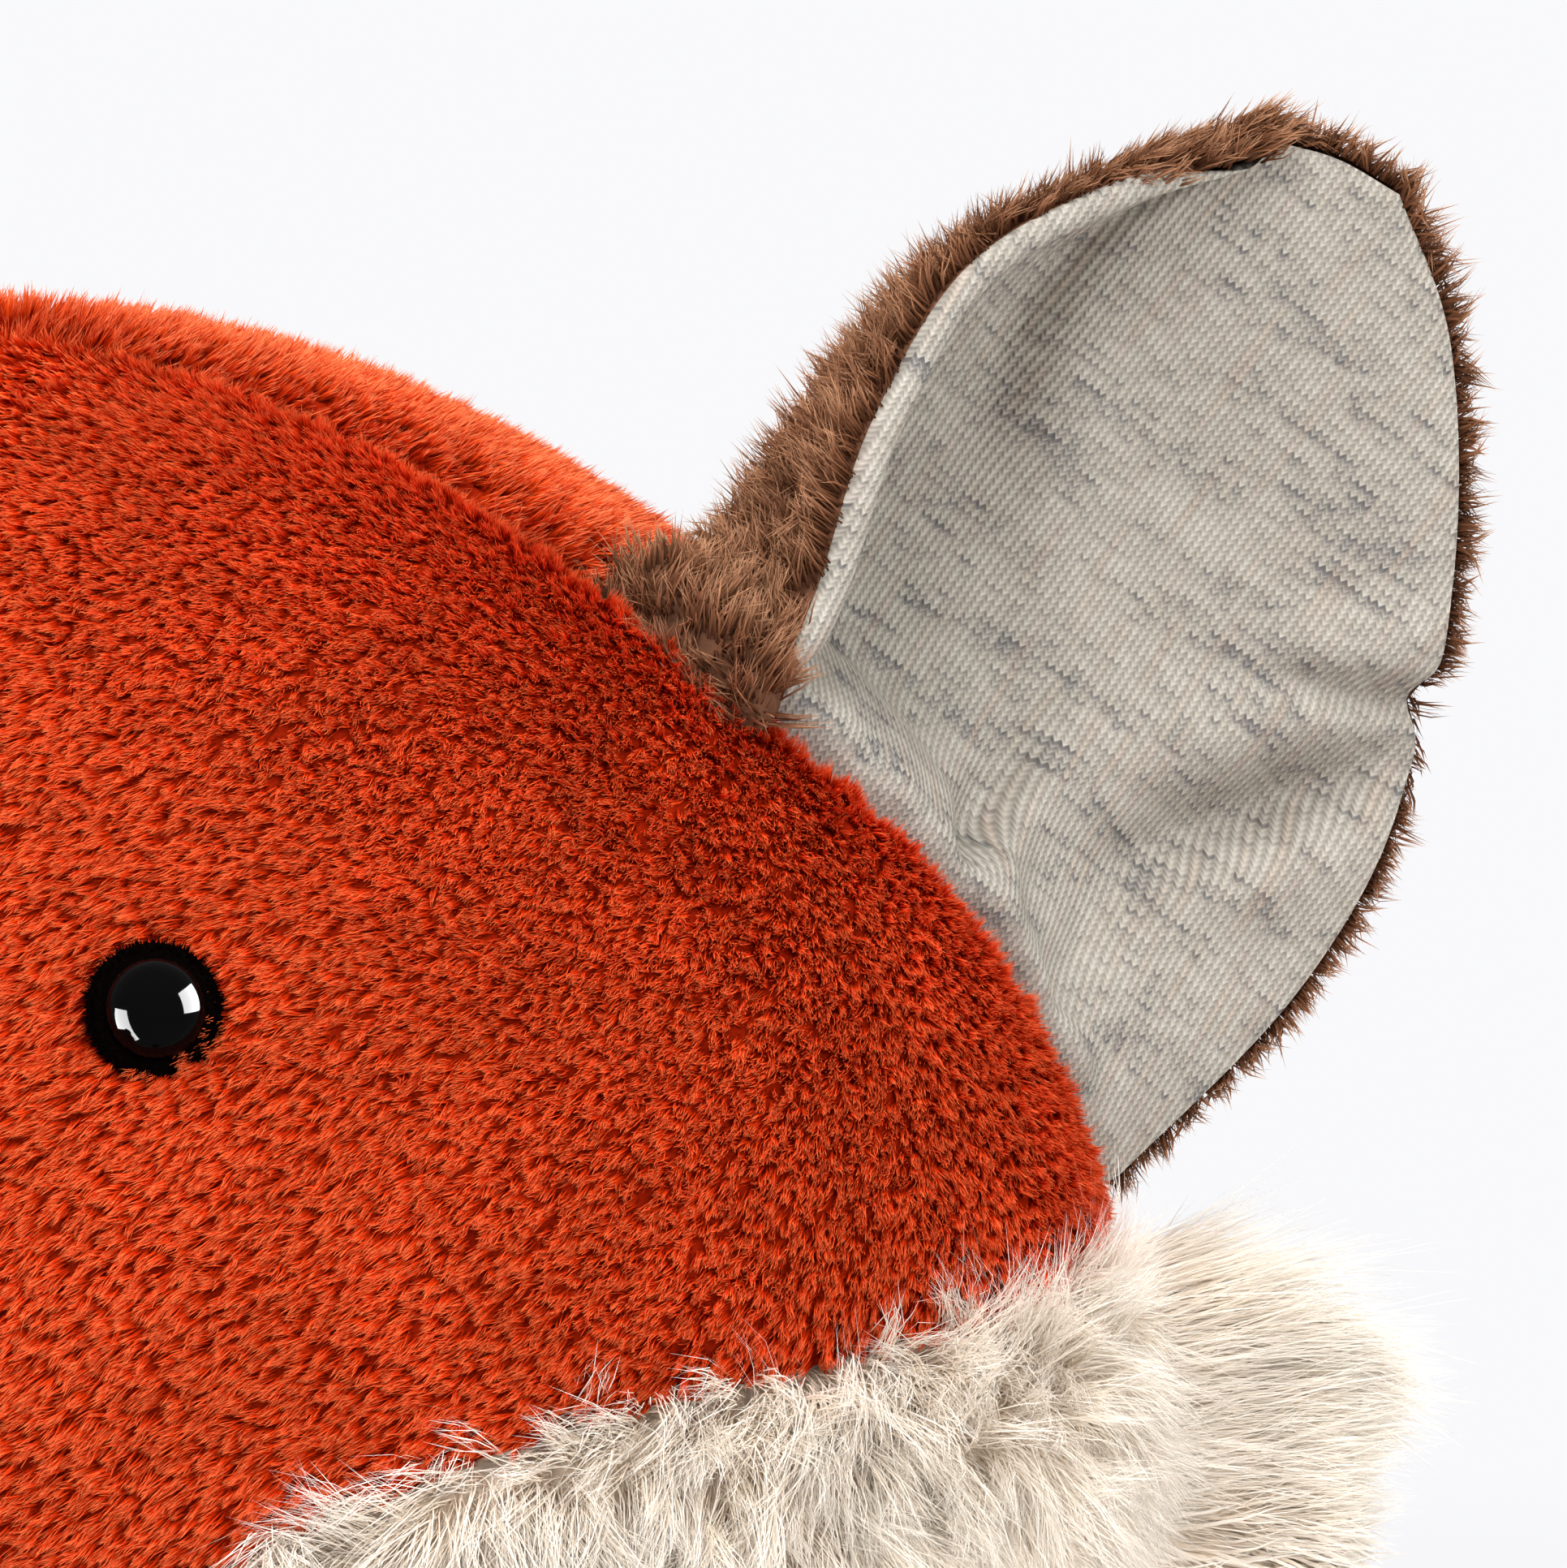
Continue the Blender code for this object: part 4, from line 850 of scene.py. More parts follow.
def head_height(points):
    """How far points in mm stand off the head's surface, roughly, and below it with a minus."""
    x, y, z = points.T
    width, rise, drop, level = head_sizes(y, 0)
    relative = np.sqrt((x / width) ** 2 + ((z - level) / np.where(z > level, rise, drop)) ** 2)
    radius = np.linalg.norm(np.stack([x, z - level]), axis=0) / relative
    return (relative - 1) * radius


def clear_of_head(points, least, sunk):
    """Moves the ear's foot forward and then out, to least mm off the head, and its edge down by sunk."""
    height = head_height(points)
    climb = (head_height(points + 0.5 * EAR_FORWARD) - height) / 0.5
    short = np.maximum(least - height, 0) / np.maximum(climb, 0.3)
    points = points + EAR_FORWARD * (3 * np.tanh(short / 3))[:, None]
    push = 0.6 * np.logaddexp(0, (least - head_height(points)) / 0.6)
    x, y, z = points.T
    level = head_sizes(y, 0)[3]
    return points + unit(np.stack([x, 0 * y, z - level], axis=-1)) * (push - sunk)[:, None]


def ear_frame_at(across, up):
    """Point, direction across, direction up and the normal to the front, at each place of the ear."""
    step = 0.004
    point = ear_middle(across, up)
    way = unit(ear_middle(np.minimum(across + step, 1), up) - ear_middle(np.maximum(across - step, 0), up))
    rise = unit(ear_middle(across, np.minimum(up + step, 1)) - ear_middle(across, np.maximum(up - step, 0)))
    point = clear_of_head(point, -3 + 3 * ease(up / 0.05), 2.8 * (1 - ease(up / 0.035)))
    return point, way, rise, unit(np.cross(way, rise))


probe = ear_frame_at(np.array([0.7]), np.array([0.5]))
EAR_FRONT = 1.0 if probe[3][0] @ np.array([0.34, -0.94, 0]) > 0 else -1.0
print("ear probe", probe[0][0].round(1), "front", EAR_FRONT)


def ripple(across, up, centre, size, turn, height):
    """A long soft fold: a bump about its centre, in shares of the ear, its length turned by an angle."""
    x, y = (across - centre[0]) * EAR_WIDE, (up - centre[1]) * EAR_TALL
    angle = math.radians(turn)
    along = x * math.cos(angle) + y * math.sin(angle)
    beside = -x * math.sin(angle) + y * math.cos(angle)
    return height * np.exp(-((along / size[0]) ** 2) - (beside / size[1]) ** 2)


# %% Folds
def lining_folds(across, up):
    """The dart at the seat, a fold from there to the pinched outer edge, and one along the hollow."""
    return 1.7 * (
        ripple(across, up, (0.695, 0.16), (8, 1.5), 84, 1.0)
        - ripple(across, up, (0.655, 0.15), (8, 1.4), 84, 1.5)
        - ripple(across, up, (0.810, 0.14), (8, 2.4), 88, 1.4)
        - ripple(across, up, (0.855, 0.29), (7, 2.2), 53, 1.9)
        - ripple(across, up, (0.930, 0.38), (7, 2.0), 49, 2.0)
        + ripple(across, up, (0.835, 0.37), (9, 3.0), 50, 1.0)
        + ripple(across, up, (0.905, 0.27), (8, 3.0), 52, 1.0)
        - ripple(across, up, (0.960, 0.475), (6, 1.1), 20, 1.6)
        + ripple(across, up, (0.940, 0.52), (6, 2.2), 25, 0.8)
        - ripple(across, up, (0.480, 0.60), (18, 3.6), 114, 1.0)
        + ripple(across, up, (0.600, 0.55), (20, 4.5), 110, 0.5)
        + 0.25 * np.sin(across * EAR_WIDE * math.tau / 4.6) * np.exp(-up * EAR_TALL / 5)
    )


def pinch(up):
    """How far the seam at the outer edge is drawn in, as a share of the ear's width."""
    return 0.018 * np.exp(-(((up - 0.485) * EAR_TALL / 1.6) ** 2))


foot = np.linspace(0, 1, 101)
print("deepest fold at the ear's foot:", lining_folds(foot, 0.16 + 0 * foot).min().round(1), "mm")


# %% Form, comb and pile of the ear backs
def ear_back_place(side):
    """The back's cloth. Its edge curls forward round the lining, so that the pile there points outwards."""

    def place(share_across, share_up):
        across = 0.5 - 0.5 * np.cos(math.pi * share_across)
        up = np.sin(math.pi / 2 * share_up)
        across = across * (1 - pinch(up))
        point, way, rise, front = ear_frame_at(across, up)
        edge = np.minimum.reduce([across * EAR_WIDE, (1 - across) * EAR_WIDE, (1 - up) * 66])
        depth = 1.3 * np.sqrt(np.clip(edge / 1.2, 0, 1) * (2 - np.clip(edge / 1.2, 0, 1))) + 0.1
        depth = depth + np.maximum(0, -lining_folds(across, up)) * ease(across / 0.3)
        point = point - front * EAR_FRONT * depth[:, None]
        return point * mirror(side)

    return place


def ear_share(places, side):
    """Where places lie across the ear, 0 at the folded edge's turn, as a share of its height."""
    return ((places * mirror(side) / MM - EAR_SEAT) @ EAR_ACROSS) / EAR_HEIGHT


def ear_back_comb(side):
    """The brown pile lies towards the tip and out over the rim, and backwards on the folded flap."""
    tip = EAR_GRID[:, -1].mean(axis=0) * MM * mirror(side)
    middle = EAR_GRID[2, 3] * MM * mirror(side)

    def comb(places, normals):
        up = unit(tip - places)
        on_flap = (1 - ease((ear_share(places, side) - 0.08) / 0.12))[:, None]
        backwards = -EAR_FORWARD * mirror(side)
        out = 1.6 * unit(places - middle) * (1 - on_flap) + 0.7 * backwards * on_flap
        wander = swirl(places, 0.006, 14)[:, None] * np.cross(up, normals)
        return 0.55 * up + out + (0.7 - 0.5 * on_flap) * wander

    return comb


def ear_back_length(side):
    def length(places):
        on_flap = 1 - ease((ear_share(places, side) - 0.08) / 0.25)
        high = ease((places[:, 2] / MM - 270) / 25)
        return 2.3 + 1.1 * np.maximum(on_flap, 0.7 * high)

    return length


def clear_of_hem(side):
    """No pile beside the folded edge, where the lining's hem wraps round it, and more along the rim."""
    hem, top, outer = (
        ear_frame_at(across, up)[0] * mirror(side) * MM
        for across, up in (
            (np.zeros(60), np.linspace(0.05, 0.80, 60)),
            (np.linspace(0.1, 1, 40), np.ones(40)),
            (np.ones(70), np.linspace(0, 1, 70)),
        )
    )

    def nearest(places, line):
        distance = np.full(len(places), 1.0)
        for point in line:
            distance = np.minimum(distance, np.linalg.norm(places - point, axis=1))
        return distance / MM

    def clear(places):
        rim = np.minimum(nearest(places, top), nearest(places, outer))
        return (nearest(places, hem) > 1.4) * (1 + 2 * ease(1.6 - rim / 1.8))

    return clear


print("combs at the tip of the left ear:", EAR_GRID[:, -1].mean(axis=0).round(1))

# %% Sewing the ear backs
ear_backs = {}
for side_name, side, spacing, width, seed in (("left", 1, 0.98, 0.17, 61), ("right", -1, 1.6, 0.34, 62)):
    back = sew(
        f"{side_name}_ear_back_cloth", 96, 72, ear_back_place(side), towards(0, 1, 0), "head",
        "brown_plush", f"{side_name}_ear_back", BROWN_GROUND, fill=None,
    )
    grow_pile(
        f"{side_name}_ear_back_pile", back, BROWN_PILE, spacing=spacing, strands=10, width=width,
        length=ear_back_length(side), comb=ear_back_comb(side), weight=clear_of_hem(side), seed=seed,
        cling=0.52, spread=0.95, ragged=0.3, stray=0.5, crimp=0.28,
    )
    ear_backs[side_name] = back

# %% The pile on the back of the head
ear_places = [vert.co for back in ear_backs.values() for vert in back.data.vertices]
ears = KDTree(len(ear_places))
for number, place in enumerate(ear_places):
    ears.insert(place, number)
ears.balance()
EAR_CLEARANCE = 2.6


def clear_of_ears(places):
    """0 beside the seam where an ear is sewn in, so that no pile pokes through it."""
    return np.array([ears.find(place)[2] > EAR_CLEARANCE * MM for place in places], float)


def crown_share(places):
    """Dense pile on the part of the crown that the photograph shows, and less on the rest."""
    x, y, z = places.T / MM
    near_crown = ease((x - 4) / 12) * ease((60 - y) / 25) * ease((z - 215) / 20)
    return (0.28 + 0.72 * near_crown) * clear_of_ears(places)


def back_comb(places, normals):
    """Forward and down on the crown, as on the face, and straight down behind."""
    nose_ward = nap(places, 305 + 0 * places[:, 0], seed=5)
    x, y, _ = places.T / MM
    down = np.stack([0.3 * x / 90, 0.5 + 0 * x, -1 + 0 * x], axis=1)
    blend = ease((y - 20) / 40)[:, None]
    return 0.9 * (nose_ward * (1 - blend) + down * blend)


grow_pile(
    "head_back_pile", head_back, RUST_BACK_PILE, spacing=0.75, strands=8, width=0.27,
    length=lambda p: short_at_seam(p, 2.2, 1.35), comb=back_comb, seed=41, weight=crown_share, steps=2,
    cling=0.45, spread=0.8, ragged=0.12, stray=0.2,
)

# %% [markdown]
# ## Melange jersey
# The lining is a fine jersey knit: upright columns of little V stitches, about two thirds of a
# millimetre apart. The yarn is a melange, which means that dark and pale fibres were mixed before
# spinning, so the stitches vary along each row. The pattern reads the piece's own UV map, in metres of
# cloth, and so it follows the folds.

# %% Jersey material
def jersey_material(name, wale_mm=0.66, course_mm=0.5, turn=0.0):
    """A jersey of melange yarn. Wales are its columns of stitches and courses its rows."""
    material, tree, shader = new_material(name, Roughness=0.9, Specular_IOR_Level=0)
    cloth = add_node(tree, "UVMap", uv_map="cloth")
    turned = add_node(tree, "Mapping", {"Vector": cloth, "Rotation": (0, 0, math.radians(turn))})
    way = add_node(tree, "SeparateXYZ", {0: turned})
    wale = add_node(tree, "Math", {0: way.outputs["X"], 1: 1 / (wale_mm * MM)}, operation="MULTIPLY")
    course = add_node(tree, "Math", {0: way.outputs["Y"], 1: 1 / (course_mm * MM)}, operation="MULTIPLY")

    # A stitch is a V, so its course sinks towards the middle of the wale, where the two legs meet.
    across = add_node(tree, "Math", {0: wale}, operation="FRACT")
    from_middle = add_node(tree, "Math", {0: across, 1: 0.5}, operation="SUBTRACT")
    from_middle = add_node(tree, "Math", {0: from_middle}, operation="ABSOLUTE")
    leaning = add_node(tree, "Math", {0: from_middle, 1: -1.5, 2: course}, operation="MULTIPLY_ADD")
    waves = []
    for turns in (from_middle, leaning):
        angle = add_node(tree, "Math", {0: turns, 1: math.tau}, operation="MULTIPLY")
        waves.append(add_node(tree, "Math", {0: angle}, operation="COSINE"))
    ridge, stitch = waves
    height = add_node(tree, "Math", {0: stitch, 1: 0.16}, operation="MULTIPLY")
    height = add_node(tree, "Math", {0: ridge, 1: 0.48, 2: height}, operation="MULTIPLY_ADD")

    # One stitch takes one colour, and its neighbours along the row tend to share it, because one yarn
    # runs through them. Three noises with steps of whole stitches add up: long dashes, wide clouds and
    # single stitches. The stitch's own wave adds a little painted shade, which keeps a dark dash to the
    # middle of its row.
    place = add_node(tree, "CombineXYZ", {0: wale, 1: leaning})
    number = add_node(tree, "VectorMath", {0: place}, operation="FLOOR")

    def yarn_noise(along_row, row_to_row, detail):
        steps = add_node(tree, "VectorMath", {0: number, 1: (along_row, row_to_row, 0)}, operation="MULTIPLY")
        return add_node(tree, "TexNoise", {"Vector": steps, "Scale": 1, "Detail": detail})

    mixed = 0.0
    for share, pattern in (
        (0.40, yarn_noise(0.14, 4.1, 1)), (0.36, yarn_noise(0.05, 0.16, 2)), (0.24, yarn_noise(2.3, 5.1, 0)),
        (0.03, stitch),
    ):
        mixed = add_node(tree, "Math", {0: pattern, 1: share, 2: mixed}, operation="MULTIPLY_ADD")
    stops = [(0.35, "777472"), (0.41, "95918B"), (0.46, "ABA59A"), (0.60, "BCB6AB")]
    yarn = add_node(tree, "ValToRGB", {"Fac": mixed}, stops)
    blush = add_node(
        tree, "MapRange",
        {"Value": yarn_noise(0.9, 0.05, 0), "From Min": 0.5, "From Max": 0.75, "To Max": 0.25},
    )
    yarn = add_node(tree, "Mix", {"Factor": blush, "A": yarn, "B": "B09482"}, data_type="RGBA")
    # Painted shade: the colour darkens in the grooves between the wales and in the dips between stitches.
    shade = add_node(
        tree, "MapRange",
        {"Value": height, "From Min": -0.45, "From Max": 0.62, "To Min": 0.66, "To Max": 1.06},
    )
    dyed = add_node(tree, "HueSaturation", {"Color": yarn.outputs["Result"], "Value": shade})
    relief = add_node(tree, "Bump", {"Height": height, "Distance": 0.12 * MM, "Strength": 0.9})
    feed(shader, {"Base Color": dyed, "Normal": relief})
    return material


# Cotton jersey of mixed fibre, knitted fine and left unfinished. The eye gets a warm pale grey, ribbed
# by its wales, with painted shade in the grooves between them, and broken by short dark dashes along
# the rows. It has no gloss at all.
EAR_JERSEY = jersey_material("melange_cotton_jersey", wale_mm=0.62, turn=36)
SOLE_JERSEY = jersey_material("melange_cotton_jersey_sole")
print("wales over an ear lining:", round(EAR_WIDE / 0.62))


# %% Ear linings
HEM = 0.08  # the share of the cloth that wraps round the folded edge


def lining_place(side):
    """The lining lies in the ear and wraps round the folded edge in a hem."""

    def place(share, up):
        up = up * 0.996
        start = 0.13 * (1 - ease(up / 0.17))
        across = start + np.clip((share - HEM) / (1 - HEM), 0, 1) * (0.996 - pinch(up) - start)
        point, way, rise, front = ear_frame_at(across, up)
        front = front * EAR_FRONT
        edge = np.minimum.reduce([(0.998 - across) * EAR_WIDE, (0.999 - up) * 66])
        lift = 0.1 + 0.7 * np.sqrt(np.clip(edge / 1.2, 0, 1)) + lining_folds(across, up) * ease(across / 0.3)
        point = point + front * lift[:, None] + way * (0.4 * np.exp(-edge / 0.4) * (across > 0.6))[:, None]
        turn = math.pi * ease(1 - share / HEM)
        wrap = -way * (1.0 * np.sin(turn))[:, None] + front * (1.05 * (np.cos(turn) - 1))[:, None]
        wrap = wrap + way * (0.8 * np.maximum(0, 1 - 3 * share / HEM))[:, None]
        point = point + wrap * ((share < HEM) * ease(up / 0.10) * ease((1 - up) / 0.2))[:, None]
        return point * mirror(side)

    return place


def flat_on_ear(points):
    """The cloth's flat coordinates in metres: places seen square to the ear, so the knit runs straight."""
    along = np.abs(points[:, 0]) * EAR_ACROSS[0] + points[:, 1] * EAR_ACROSS[1]
    return np.stack([along, points[:, 2]], axis=-1)


for side_name, side, columns, rows in (("left", 1, 176, 120), ("right", -1, 120, 84)):
    lining = sew(
        f"{side_name}_ear_lining_cloth", columns, rows, lining_place(side), towards(0.34, -0.94, 0), "head",
        "melange_jersey", f"{side_name}_ear_lining", EAR_JERSEY, fill=None, uv=flat_on_ear,
    )

# %% [markdown]
# ## Eyes
# A safety eye is a moulded black dome on a shank that is pushed through the cloth and locked behind it
# with a washer. A ring of felt under the dome hides the hole. Both are turned shapes, so each is an
# outline that spins round the shank's axis. The dome is polished, and shows the windows of the studio.

# %% Eye materials
# In mm. Both are drawn coarser than the real ones, a few microns and 0.02 mm, which wouldn't show.
POLISH_MARK, WOOL_FIBRE = 1.111, 0.1923

# Black ABS, moulded and polished. The eye sees only the windows in it, small and sharp. The lamps that
# make them outshine the room, so the reflection is set low, or the pale room would grey the black.
EYE_PLASTIC, tree, shader = new_material(
    "polished_black_abs", Base_Color="040404", IOR=1.5, Specular_IOR_Level=0.03
)
place = add_node(tree, "TexCoord").outputs["Object"]
polish = add_node(tree, "TexNoise", {"Vector": place, "Scale": 1 / (POLISH_MARK * MM)})
feed(shader, {"Roughness": add_node(tree, "MapRange", {"Value": polish, "To Min": 0.02, "To Max": 0.06})})

# Wool felt, dyed black and matted by milling. It swallows light, so it frames the glossy dome.
FELT, tree, shader = new_material("black_wool_felt", Roughness=0.95, Specular_IOR_Level=0)
place = add_node(tree, "TexCoord").outputs["Object"]
fibre = add_node(tree, "TexNoise", {"Vector": place, "Scale": 1 / (WOOL_FIBRE * MM), "Detail": 3})
feed(shader, {
    "Base Color": add_node(tree, "ValToRGB", {"Fac": fibre}, [(0.35, "040202"), (0.7, "0A0605")]),
    "Normal": add_node(tree, "Bump", {"Height": fibre, "Distance": 0.1 * MM, "Strength": 0.8}),
})

# The loose wool that stands off the felt's cut edge, with painted shade at its roots and tips painted
# a little browner, for light that comes through them.
FELT_FUZZ = pile_material("black_felt_fuzz", "040202", "0A0605", "140C0A", 0.3, 0)
print("eye materials:", EYE_PLASTIC.name, FELT.name, FELT_FUZZ.name)


# %% Turning the dome and the felt
EYE_STEPS, DOME_RADIUS, DOME_HEIGHT = 96, 3.5, 2.7


def eye_matrix(side):
    y, roll = np.array([-0.767 * HEAD_HALF_DEPTH]), np.array([math.radians(45.5)])
    place = Vector(head_point(y, roll, 0)[0]) * MM
    turn, lift = math.radians(28), math.radians(11)
    level = math.cos(lift)
    outward = Vector((side * math.sin(turn) * level, -math.cos(turn) * level, math.sin(lift)))
    place.x *= side
    return Matrix.Translation(place) @ outward.to_track_quat("Z", "Y").to_matrix().to_4x4()


def turned_piece(name, outline, matrix, material, closed=False):
    """Spins an outline of (radius, height) in mm round Z, then moves it to its place."""
    bm = bmesh.new()
    verts = [bm.verts.new((radius * MM, 0, height * MM)) for radius, height in outline]
    edges = [bm.edges.new(pair) for pair in zip(verts, verts[1:])]
    if closed:
        edges.append(bm.edges.new((verts[-1], verts[0])))
    bmesh.ops.spin(
        bm, geom=verts + edges, cent=(0, 0, 0), axis=(0, 0, 1), angle=math.tau, steps=EYE_STEPS,
        use_merge=True,
    )
    bmesh.ops.remove_doubles(bm, verts=bm.verts, dist=1e-6)
    bmesh.ops.recalc_face_normals(bm, faces=bm.faces)
    bmesh.ops.transform(bm, matrix=matrix, verts=bm.verts)
    return mesh_from(bm, name, material)


quarter = np.radians(np.linspace(0, 90, 33))
dome = [(DOME_RADIUS * math.sin(t), 0.4 + DOME_HEIGHT * math.cos(t)) for t in quarter]
dome += [(DOME_RADIUS, 0.15), (3.42, 0.02), (3.3, 0.0), (1.5, 0.0), (1.5, -11.3), (1.3, -11.5), (0, -11.5)]
felt_ring = [(4.6, -0.75), (4.62, -0.5), (4.45, -0.28), (4.0, -0.25), (1.8, -0.25), (1.8, -1.05), (4.4, -1.1)]
for side_name, side in SIDES:
    matrix = eye_matrix(side)
    mesh = turned_piece(f"{side_name}_eye_dome", dome, matrix, EYE_PLASTIC)
    finish_piece(mesh.name, mesh, "head", "black_plastic", f"{side_name}_eye")
    mesh = turned_piece(f"{side_name}_felt_ring", felt_ring, matrix, FELT, closed=True)
    ring = finish_piece(mesh.name, mesh, "head", "black_felt", f"{side_name}_eye_felt")
    centre, outward = np.array(matrix.translation), np.array(matrix.col[2].xyz)

    def felt_rim(places, centre=centre, outward=outward):
        """The part of the felt that stands out from under the dome."""
        from_centre = places - centre
        return 1.0 * (
            (np.linalg.norm(from_centre, axis=1) > 3.6 * MM) & (from_centre @ outward > -0.9 * MM)
        )

    grow_pile(
        f"{side_name}_felt_fuzz", ring, FELT_FUZZ, spacing=0.22, strands=3, width=0.09, length=0.5,
        comb=lambda p, n, centre=centre: 0.9 * unit(p - centre), seed=71, weight=felt_rim, steps=2,
        cling=0.2, ragged=0.6,
    )

# %% [markdown]
# ## Nose
# The nose is a small stuffed pad of short black plush, sewn over the end of the muzzle.

# %% Nose
NOSE_HALF_WIDTH, NOSE_DEPTH, NOSE_HALF_HEIGHT = 10.3, 5.3, 7.3


def nose_place(around, share):
    turn, roll = math.pi / 2 * share, math.tau * around
    narrow = 1 - 0.25 * np.maximum(0, -np.sin(roll))
    level = head_point(np.array([NOSE_RING]), np.array([0.0]), 0)[0, 2] + 2.0
    x = NOSE_HALF_WIDTH * narrow * np.sin(turn) * np.cos(roll)
    y = NOSE_RING - 0.3 - NOSE_DEPTH * np.cos(turn) ** 0.8
    return np.stack([x, y, level + NOSE_HALF_HEIGHT * np.sin(turn) * np.sin(roll)], axis=-1)


# Black brushed cloth: a matt near-black ground, with painted shade in its dips, and a nap of under a
# millimetre, painted darker at the roots as shade and paler at the tips as a highlight, so the tips look
# soft.
NOSE_CLOTH = backing_material("black_brushed_nose_cloth", "1D1614", 0.45)
NOSE_PILE = pile_material("black_nose_pile", "0A0706", "231A17", "4A3A34", 0.2, 0.2)
nose = sew(
    "nose_pad", 48, 24, nose_place, away_from(0, -112, 196), "head", "nose_cloth", "nose", NOSE_CLOTH, 0.8,
    closed=True,
)
grow_pile(
    "nose_pile", nose, NOSE_PILE, spacing=0.42, strands=5, width=0.16, length=0.9,
    comb=lambda p, n: np.tile([0, 0, -0.5], (len(p), 1)), seed=72, steps=2, cling=0.3,
)

# %% [markdown]
# ## The torso
# The body is an upright pear: a rust back panel that wraps round to the front, and a long-pile belly
# panel let into it. It stands on a flat seat and carries the head on its top. Where a limb is set in, its
# ball presses a dimple into the cloth, and no pile grows there.

# %% Torso form
TORSO_HALF_WIDTH, TORSO_HALF_DEPTH, TORSO_MIDDLE, TORSO_HALF_HEIGHT = 74.0, 64.0, 82.0, 94.0
NECK_LEVEL = 165.0
TORSO_TOP, TORSO_FOOT = 0.075, 0.845  # shares of the half turn from the top of the pear to its foot
BELLY_HALF_ANGLE = math.radians(52)
SHOULDER = np.array([51.93, 0, 133.79])
SHOULDER_OUT = np.array([0.852925, 0, 0.522034])
HIP = np.array([63.359, -45.528, 21.5])
TAIL_ROOT = np.array([0, 65.64, 26.0])


def dent(points, centre, radius):
    """Pushes what lies inside a ball out to its surface."""
    from_centre = points - centre
    distance = np.linalg.norm(from_centre, axis=1, keepdims=True)
    return np.where(distance < radius, centre + from_centre * radius / np.maximum(distance, 1e-3), points)


def torso_point(share, azimuth, inset):
    """Points of the torso in mm, from its top down and round from the front, inside the solid by inset."""
    turn = math.pi * share
    swell = np.sin(turn) * (1 - 0.22 * np.cos(turn))
    x = (TORSO_HALF_WIDTH - inset) * swell * np.sin(azimuth)
    y = -(TORSO_HALF_DEPTH - inset) * swell * np.cos(azimuth)
    z = np.clip(TORSO_MIDDLE + (TORSO_HALF_HEIGHT - inset) * np.cos(turn), inset, NECK_LEVEL - 0.3)
    side = np.where(x < 0, -1.0, 1.0)
    point = np.stack([np.abs(x), y, z], axis=-1)
    above = np.maximum((point - SHOULDER) @ SHOULDER_OUT + np.minimum(inset, 0.6), 0)
    point = point - SHOULDER_OUT * above[:, None]
    point[:, 2] = np.clip(point[:, 2], np.minimum(inset, 1.0), NECK_LEVEL - 0.3)
    point = dent(point, HIP, 22.2)
    point[:, 0] *= side
    return dent(point, TAIL_ROOT, 13.9)


def outside_torso(places, clearance):
    """Whether places lie outside the torso's free form by a clearance in mm."""
    x, y, z = places.T / MM
    turn = np.arccos(np.clip((z - TORSO_MIDDLE) / TORSO_HALF_HEIGHT, -1, 1))
    swell = np.maximum(np.sin(turn) * (1 - 0.22 * np.cos(turn)), 1e-3)
    width, depth = TORSO_HALF_WIDTH * swell + clearance, TORSO_HALF_DEPTH * swell + clearance
    return (x / width) ** 2 + (y / depth) ** 2 > 1


print("torso at its foot, in mm:", torso_point(np.array([TORSO_FOOT]), np.array([0.0]), 0)[0].round(1))


# %% The torso's cloth and pile
def torso_place(middle, half_angle, inset):
    """A panel of the torso, from its top to the seat and half_angle to each side of its middle."""

    def place(across, share):
        down = TORSO_TOP + (TORSO_FOOT - TORSO_TOP) * share
        azimuth = middle + half_angle * (2 * across - 1)
        distance = np.minimum(across, 1 - across) * 2 * half_angle * 60
        sink = drawn_in(distance, share * 150)
        creases = 0.7 * np.sin(azimuth * 9 + 3 * np.sin(down * 7)) * ease((down - 0.6) / 0.25)
        return torso_point(down, azimuth, inset + sink + creases)

    return place


def clear_of_limbs(places):
    """0 where a limb's root presses on the torso."""
    point = np.abs(places[:, :1]) * [1, 0, 0] + places * [0, 1, 1]
    clear = np.linalg.norm(point / MM - HIP, axis=1) > 23.2
    clear &= np.linalg.norm(point / MM - TAIL_ROOT, axis=1) > 14.6
    on_shoulder = np.abs((point / MM - SHOULDER) @ SHOULDER_OUT) < 1.2
    clear &= ~(on_shoulder & (np.linalg.norm(point / MM - (SHOULDER + [0, -8, -35]), axis=1) < 46))
    return clear * (places[:, 2] > 1.5 * MM) * (places[:, 2] < 164.2 * MM)


def torso_comb(places, normals):
    down = np.tile([0.0, 0.0, -1.0], (len(places), 1))
    return 0.9 * down + 0.3 * swirl(places, 0.02, 15)[:, None] * np.cross(down, normals)


from_torso = away_from(0, 0, 80)
back_place_torso = torso_place(math.pi, math.pi - BELLY_HALF_ANGLE, 1.7)
back = sew(
    "back_cloth", 120, 72, back_place_torso, from_torso, "torso", "rust_plush", "back_panel", RUST_GROUND,
)
belly_place = torso_place(0, BELLY_HALF_ANGLE, 3.2)
belly = sew(
    "belly_cloth", 60, 80, belly_place, from_torso, "torso", "cream_long_pile", "belly_panel", CREAM_GROUND,
)
grow_pile(
    "back_pile", back, RUST_PILE, spacing=1.45, strands=5, width=0.6, length=2.5, comb=torso_comb, seed=81,
    weight=clear_of_limbs, steps=2,
)
grow_pile(
    "belly_pile", belly, CREAM_PILE, spacing=3.0, strands=11, width=0.55, length=6.5, comb=torso_comb,
    seed=82, weight=clear_of_limbs, cling=0.75, spread=0.9, ragged=0.35,
)

# %% [markdown]
# ## Seat
# The seat panel closes the torso below. It is a flat oval of the same rust cloth, with its pile pressed.

